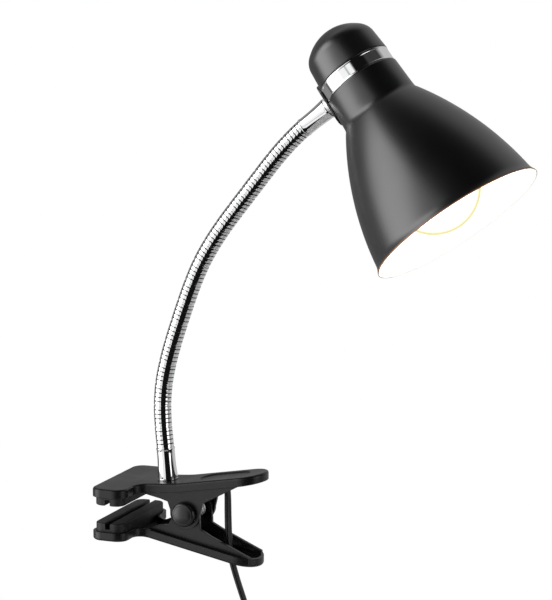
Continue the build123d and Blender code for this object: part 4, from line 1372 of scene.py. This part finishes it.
# ---------------------------------------------------------------- spring
@dataclass(frozen=True)
class ClampSpring:
    """Torsion spring on the clamp's pin: its lower leg and last half turn swing with the lower jaw."""

    pivot: Point = (53.7, 6.913, -6.0)
    wire: float = 2.6
    radius: float = 5.7
    pitch: float = 3.26
    # degrees round the pin at which the coil starts, and how far it winds
    start: float = 144.0
    sweep: float = 1526.8
    upper_leg: float = 18.0
    bend_radius: float = 3.0
    bend: float = 44.0
    tip: float = 2.8
    lower_leg: float = 32.7
    # how much of the coil swings, the gap before it and how far the wire inside reaches
    # back from the swinging part's start and into it, all in degrees
    moving: float = 200.0
    gap: float = 17.5
    reach_back: float = 30.0
    lap: float = 46.0
    core_play: float = 0.55
    # how near to the plane of an end its points are
    near: float = 0.02
    sides: int = 14
    steps_a_turn: int = 24

    def place(self, first: float) -> Matrix:
        """Place of a stretch of the coil, its Z along the pin and its X at the stretch's start.

        Args:
            first: where on the coil it starts, in degrees.

        Returns:
            Its place.
        """
        pin = LAYOUT.frame_of(Vector(self.pivot) * MM, Vector((1, 0, 0)), Vector((0, -1, 0)))
        along = Matrix.Translation((0, 0, self.pitch * first / 360 * MM))
        return pin @ along @ Matrix.Rotation(math.radians(self.start + first), 4, "Z")

    def wind(self, name: str, first: float, last: float, wire: float) -> Piece:
        """Wind a stretch of the coil from a ring, its ends open.

        Args:
            name: name of the piece.
            first: where on the coil it starts, in degrees.
            last: where it ends.
            wire: diameter of the wire.

        Returns:
            The piece, about the origin.
        """
        clear()
        bpy.ops.mesh.primitive_circle_add(
            vertices=self.sides,
            radius=wire / 2 * MM,
            location=(self.radius * MM, 0, 0),
            rotation=(math.pi / 2, 0, 0),
        )
        piece = bpy.context.object
        piece.name = name
        bpy.ops.object.transform_apply(location=True, rotation=True, scale=True)
        winding = piece.modifiers.new("winding", "SCREW")
        winding.angle = math.radians(last - first)
        winding.screw_offset = self.pitch * (last - first) / 360 * MM
        winding.steps = winding.render_steps = round((last - first) / 360 * self.steps_a_turn)
        finish_with(piece, winding)
        return piece

    def take_end(self, piece: Piece, turned: float) -> None:
        """Select the ring at one end of a stretch.

        Args:
            piece: the stretch.
            turned: degrees from its start to that end.
        """
        angle = math.radians(turned)
        way = Vector((-math.sin(angle), math.cos(angle), 0))
        out = Vector((math.cos(angle), math.sin(angle), 0))
        height = self.pitch * turned / 360 * MM

        def at_end(place: Vector) -> bool:
            """Whether a point is in the end's ring."""
            level = abs(place.z - height) < self.pitch / 2 * MM
            return level and abs(place.dot(way)) < self.near * MM and place.dot(out) > 0

        pick_points(piece, at_end)

    def close(self, piece: Piece, first: float, body: str, *nodes: str) -> None:
        """Turn the faces outwards and put a stretch in its place.

        Args:
            piece: the stretch, in edit mode.
            first: where on the coil it starts, in degrees.
            body: the body that it rides on.
            nodes: the nodes that it replaces.
        """
        face_out()
        deliver(piece, self.place(first), 45, body, Finishes.SPRING, *nodes)

    def still_part(self, last: float) -> None:
        """Wind the part that stays, with the upper leg and its bent tip.

        Args:
            last: where on the coil it ends, in degrees.
        """
        piece = self.wind("spring_coil", 0, last, self.wire)
        self.take_end(piece, last)
        bpy.ops.mesh.edge_face_add()
        self.take_end(piece, 0)
        draw_out(0, -self.upper_leg, 0)
        hub = ((self.radius - self.bend_radius) * MM, -self.upper_leg * MM, 0)
        turned = math.radians(self.bend)
        bpy.ops.mesh.spin(steps=5, angle=turned, center=hub, axis=(0, 0, 1))
        draw_out(-math.sin(turned) * self.tip, -math.cos(turned) * self.tip, 0)
        bpy.ops.mesh.edge_face_add()
        self.close(piece, 0, "base", "torsion_spring")

    def inner_part(self, split: float) -> None:
        """Wind the thinner wire that fills the gap inside.

        Args:
            split: where on the coil the swinging part starts, in degrees.
        """
        first, last = split - self.reach_back, split + self.lap
        piece = self.wind("spring_core", first, last, self.wire - self.core_play)
        for turned in (0, last - first):
            self.take_end(piece, turned)
            bpy.ops.mesh.edge_face_add()
        self.close(piece, first, "base")

    def swinging_part(self, split: float) -> None:
        """Wind the part that swings, with the lower leg.

        Args:
            split: where on the coil it starts, in degrees.
        """
        piece = self.wind("spring_lower_leg", split, self.sweep, self.wire)
        self.take_end(piece, 0)
        bpy.ops.mesh.edge_face_add()
        self.take_end(piece, self.moving)
        angle = math.radians(self.moving)
        draw_out(-math.sin(angle) * self.lower_leg, math.cos(angle) * self.lower_leg, 0)
        bpy.ops.mesh.edge_face_add()
        self.close(piece, split, "lower_jaw")

    def build(self) -> None:
        """Wind the three parts."""
        split = self.sweep - self.moving
        self.still_part(split - self.gap)
        self.inner_part(split)
        self.swinging_part(split)


# ---------------------------------------------------------------- head
class Side(IntEnum):
    """Which of the shade's finishes a face takes."""

    OUTSIDE = 0
    INSIDE = 1
    LIP = 2


@dataclass(frozen=True)
class Shade:
    """Spun bell shade: satin black outside, white inside, with bulb light painted in warm brown on its lip.
    """

    skin: float = 0.6
    mouth: float = 59.9
    lip: Spot = (57.8, 6.3)
    middle: Spot = (48.5, 45.3)
    crease: Spot = (26.9, 90.0)
    # the rounded crease takes the place of the arc's last point
    rounding: tuple[Spot, ...] = ((27.0, 89.6), (26.62, 91.2), (26.47, 92.6), (26.3, 95.5))
    top: float = 112.4
    sleeve: float = 23.65
    # height and width of the lip's band of painted bulb light, and thickness of the flange at the top
    lip_light_band: Spot = (0.8, 0.5)
    flange: float = 0.8
    sides: int = 176

    def outside(self) -> Outline:
        """Draw the outer wall.

        Returns:
            Its points from the mouth to the sleeve.
        """
        edge = (self.mouth - 0.24, 0.92)
        below = ((self.mouth + self.lip[0]) / 2 - 0.3, self.lip[1] / 2)
        wall = [(self.mouth, 0.12), edge, *arc(edge, below, self.lip, 5)]
        wall += arc(self.lip, self.middle, self.crease, 34)[:-1]
        shoulder = [(25.7, self.top - 1.0), (25.55, self.top - 0.3), (25.3, self.top)]
        return [*wall, *self.rounding, *shoulder, (self.sleeve, self.top)]

    def side(self, place: Vector, normal: Vector) -> Side:
        """Which side of the shade a face is on.

        Args:
            place: the face's middle.
            normal: its normal.

        Returns:
            The side.
        """
        # painted light: a band at the outer lip takes the warm brown of the bulb's light on the edge
        high, wide = self.lip_light_band
        if place.z < high * MM and math.hypot(place.x, place.y) > (self.mouth - wide) * MM:
            return Side.LIP
        if place.z > (self.top - self.flange) * MM and abs(normal.z) > 0.8:
            return Side.OUTSIDE if normal.z > 0 else Side.INSIDE
        return Side.OUTSIDE if Vector((place.x, place.y, 0)).dot(normal) > 0 else Side.INSIDE

    def build(self) -> None:
        """Turn both walls as one closed skin and paint the two sides."""
        outer = self.outside()
        inner = [(self.sleeve, self.top - self.skin)]
        inner += [(wide - self.skin, up) for wide, up in reversed(outer[1:-2]) if up < self.top - 0.7]
        rim = [(self.mouth - self.skin, 0.12), (self.mouth - 0.45, 0.0), (self.mouth - 0.15, 0.0)]
        piece = turn("bell_shade", [*outer, *inner, *rim, (self.mouth, 0.12)], self.sides)
        paint(piece, [Finishes.SHADE, Finishes.INSIDE, Finishes.LIP], self.side)
        deliver(piece, LAYOUT.head(), 40, "head", Finishes.SHADE, "shade")


@dataclass(frozen=True)
class HeadTrim:
    """Chrome ring, glossy rear cap and opal bulb."""

    # the ring's radius, its lower and its upper end
    ring: Point = (25.3, 112.4, 122.0)
    ring_bore: float = 23.65
    cap_foot: Spot = (25.18, 122.05)
    cap_wall: tuple[Spot, ...] = ((25.36, 122.3), (25.3, 123.4), (24.75, 130.0), (24.2, 137.0))
    cap_shoulder: tuple[Spot, Spot] = ((22.88, 140.98), (19.49, 144.88))
    cap_top: float = 152.48
    # the cap's inside: where its dome starts, how far below the outside it lies, its shoulder and its foot
    hollow: Spot = (18.4, 144.0)
    cap_skin: float = 1.38
    hollow_shoulder: tuple[Spot, Spot] = ((21.78, 140.2), (22.8, 137.0))
    hollow_foot: Spot = (23.9, 122.1)
    sides: int = 160
    bulb_centre: float = 28.0
    bulb_radius: float = 30.0
    # where the bulb starts to be drawn in, where its neck ends and how stiffly it is drawn
    bulb_taper: float = 41.5
    bulb_neck: Spot = (13.1, 77.0)
    bulb_reach: float = 38.0
    bulb_sides: int = 96

    def build(self) -> None:
        """Turn the three pieces."""
        self.trim_ring()
        self.rear_cap()
        self.bulb()

    def trim_ring(self) -> None:
        """Turn the ring, with a raised bead at each edge."""
        radius, low, high = self.ring
        bead = [(radius - 0.06, 0.25), (radius, 0.6), (radius - 0.04, 0.95), (radius - 0.22, 1.25)]
        lower = [(self.ring_bore, low + 0.1), (radius - 0.35, low + 0.05)]
        upper = [(radius - 0.35, high - 0.05), (self.ring_bore, high - 0.1)]
        beads = [*((wide, low + up) for wide, up in bead), *((wide, high - up) for wide, up in bead[::-1])]
        piece = turn("chrome_ring", [*lower, *beads, *upper, lower[0]], self.sides)
        deliver(piece, LAYOUT.head(), 30, "head", Finishes.CHROME, "trim_ring")

    def rear_cap(self) -> None:
        """Turn the hollow cap with its rounded shoulder and crowned top."""
        shoulder = arc(self.cap_wall[-1], *self.cap_shoulder, 10)
        dome = crown(self.cap_shoulder[-1], self.cap_top, 14)
        ceiling = crown(self.hollow, self.cap_top - self.cap_skin, 8)[::-1]
        inner = [*ceiling, self.hollow, *arc(self.hollow, *self.hollow_shoulder, 6), self.hollow_foot]
        outline = [self.cap_foot, *self.cap_wall, *shoulder, *dome, *inner, self.cap_foot]
        piece = turn("rear_cap_moulding", outline, self.sides)
        deliver(piece, LAYOUT.head(), 50, "head", Finishes.REAR, "rear_cap")

    def bulb(self) -> None:
        """Turn the pear bulb: a round front drawn in to the screw cap."""
        centre, radius, reach = self.bulb_centre, self.bulb_radius, self.bulb_reach
        up = self.bulb_taper - centre
        wide = math.sqrt(radius**2 - up**2)
        turned = math.asin(up / radius) + math.pi / 2
        angles = [-math.pi / 2 + turned * step / 24 for step in range(1, 25)]
        front = [(radius * math.cos(a), centre + radius * math.sin(a)) for a in angles]
        (far, end), lead = self.bulb_neck, (-up / radius * reach, wide / radius * reach)
        taper = []
        for t in (step / 14 for step in range(1, 15)):
            # shares of the start, the way out of it, the end and the way into it
            start, leaving = 2 * t**3 - 3 * t**2 + 1, t**3 - 2 * t**2 + t
            stop, coming = 3 * t**2 - 2 * t**3, t**3 - t**2
            height = start * self.bulb_taper + leaving * lead[1] + stop * end + coming * reach
            taper.append((start * wide + leaving * lead[0] + stop * far, height))
        outline = [(0.0, centre - radius), *front, *taper, (0.0, end)]
        piece = turn("opal_bulb", outline, self.bulb_sides)
        deliver(piece, LAYOUT.head(), 60, "head", Finishes.BULB, "bulb_globe")


# ---------------------------------------------------------------- the kept solids
DRESSES: dict[Finish, tuple[str, ...]] = {
    Finishes.JAW: ("upper_jaw", "lower_jaw"),
    Finishes.PAD: ("upper_pad", "lower_pad"),
    # painted shade: the pivot caps take the darker copy of the jaw plastic
    Finishes.CAP: ("pivot_cap_front", "pivot_cap_back"),
    Finishes.SPRING: (
        "pivot_pin", "ferrule_washer", "ferrule_nut", "nipple", "head_nut", "holder_screws", "clip_screws"
    ),
    Finishes.WASHER: ("spacer_washer",),
    Finishes.SADDLE: ("saddle_plate",),
    Finishes.SLEEVE: ("socket_sleeve",),
    Finishes.HOLDER: ("lampholder",),
    Finishes.BRASS: ("lampholder_shell", "centre_contact", "bulb_button"),
    Finishes.BULB_METAL: ("bulb_cap",),
    Finishes.BULB_BLACK: ("bulb_insulator",),
    Finishes.PLUG: ("cord_clip",),
    Finishes.NICKEL: ("plug_pins",),
}


class Dresser:
    """Puts a finish on every solid that stays in view."""

    @staticmethod
    def put_on(node: Piece, material: bpy.types.Material) -> None:
        """Give all of a solid one material.

        Args:
            node: the solid.
            material: its material.
        """
        if not node.material_slots:
            node.data.materials.append(material)
        for slot in node.material_slots:
            slot.material = material

    def dress(self) -> None:
        """Dress each kept node."""
        for finish, names in DRESSES.items():
            for name in names:
                self.put_on(frame["nodes"][name], FINISHES.get(finish))
                LOG.info("%s dressed in %s", name, finish.name)


def main() -> None:
    """Build the lamp's pieces in order."""
    logging.basicConfig(level=logging.INFO, format="%(message)s")
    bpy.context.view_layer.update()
    Studio().build()
    lead = MainsLead()
    cord = lead.build()
    plug = Plug()
    ends = [plug.body(), *plug.sleeves(), plug.tie(lead), frame["nodes"]["plug_pins"]]
    ClampSpring().build()
    Gooseneck().build()
    Ferrules().build()
    Shade().build()
    HeadTrim().build()
    Dresser().dress()


if __name__ == "__main__":
    main()
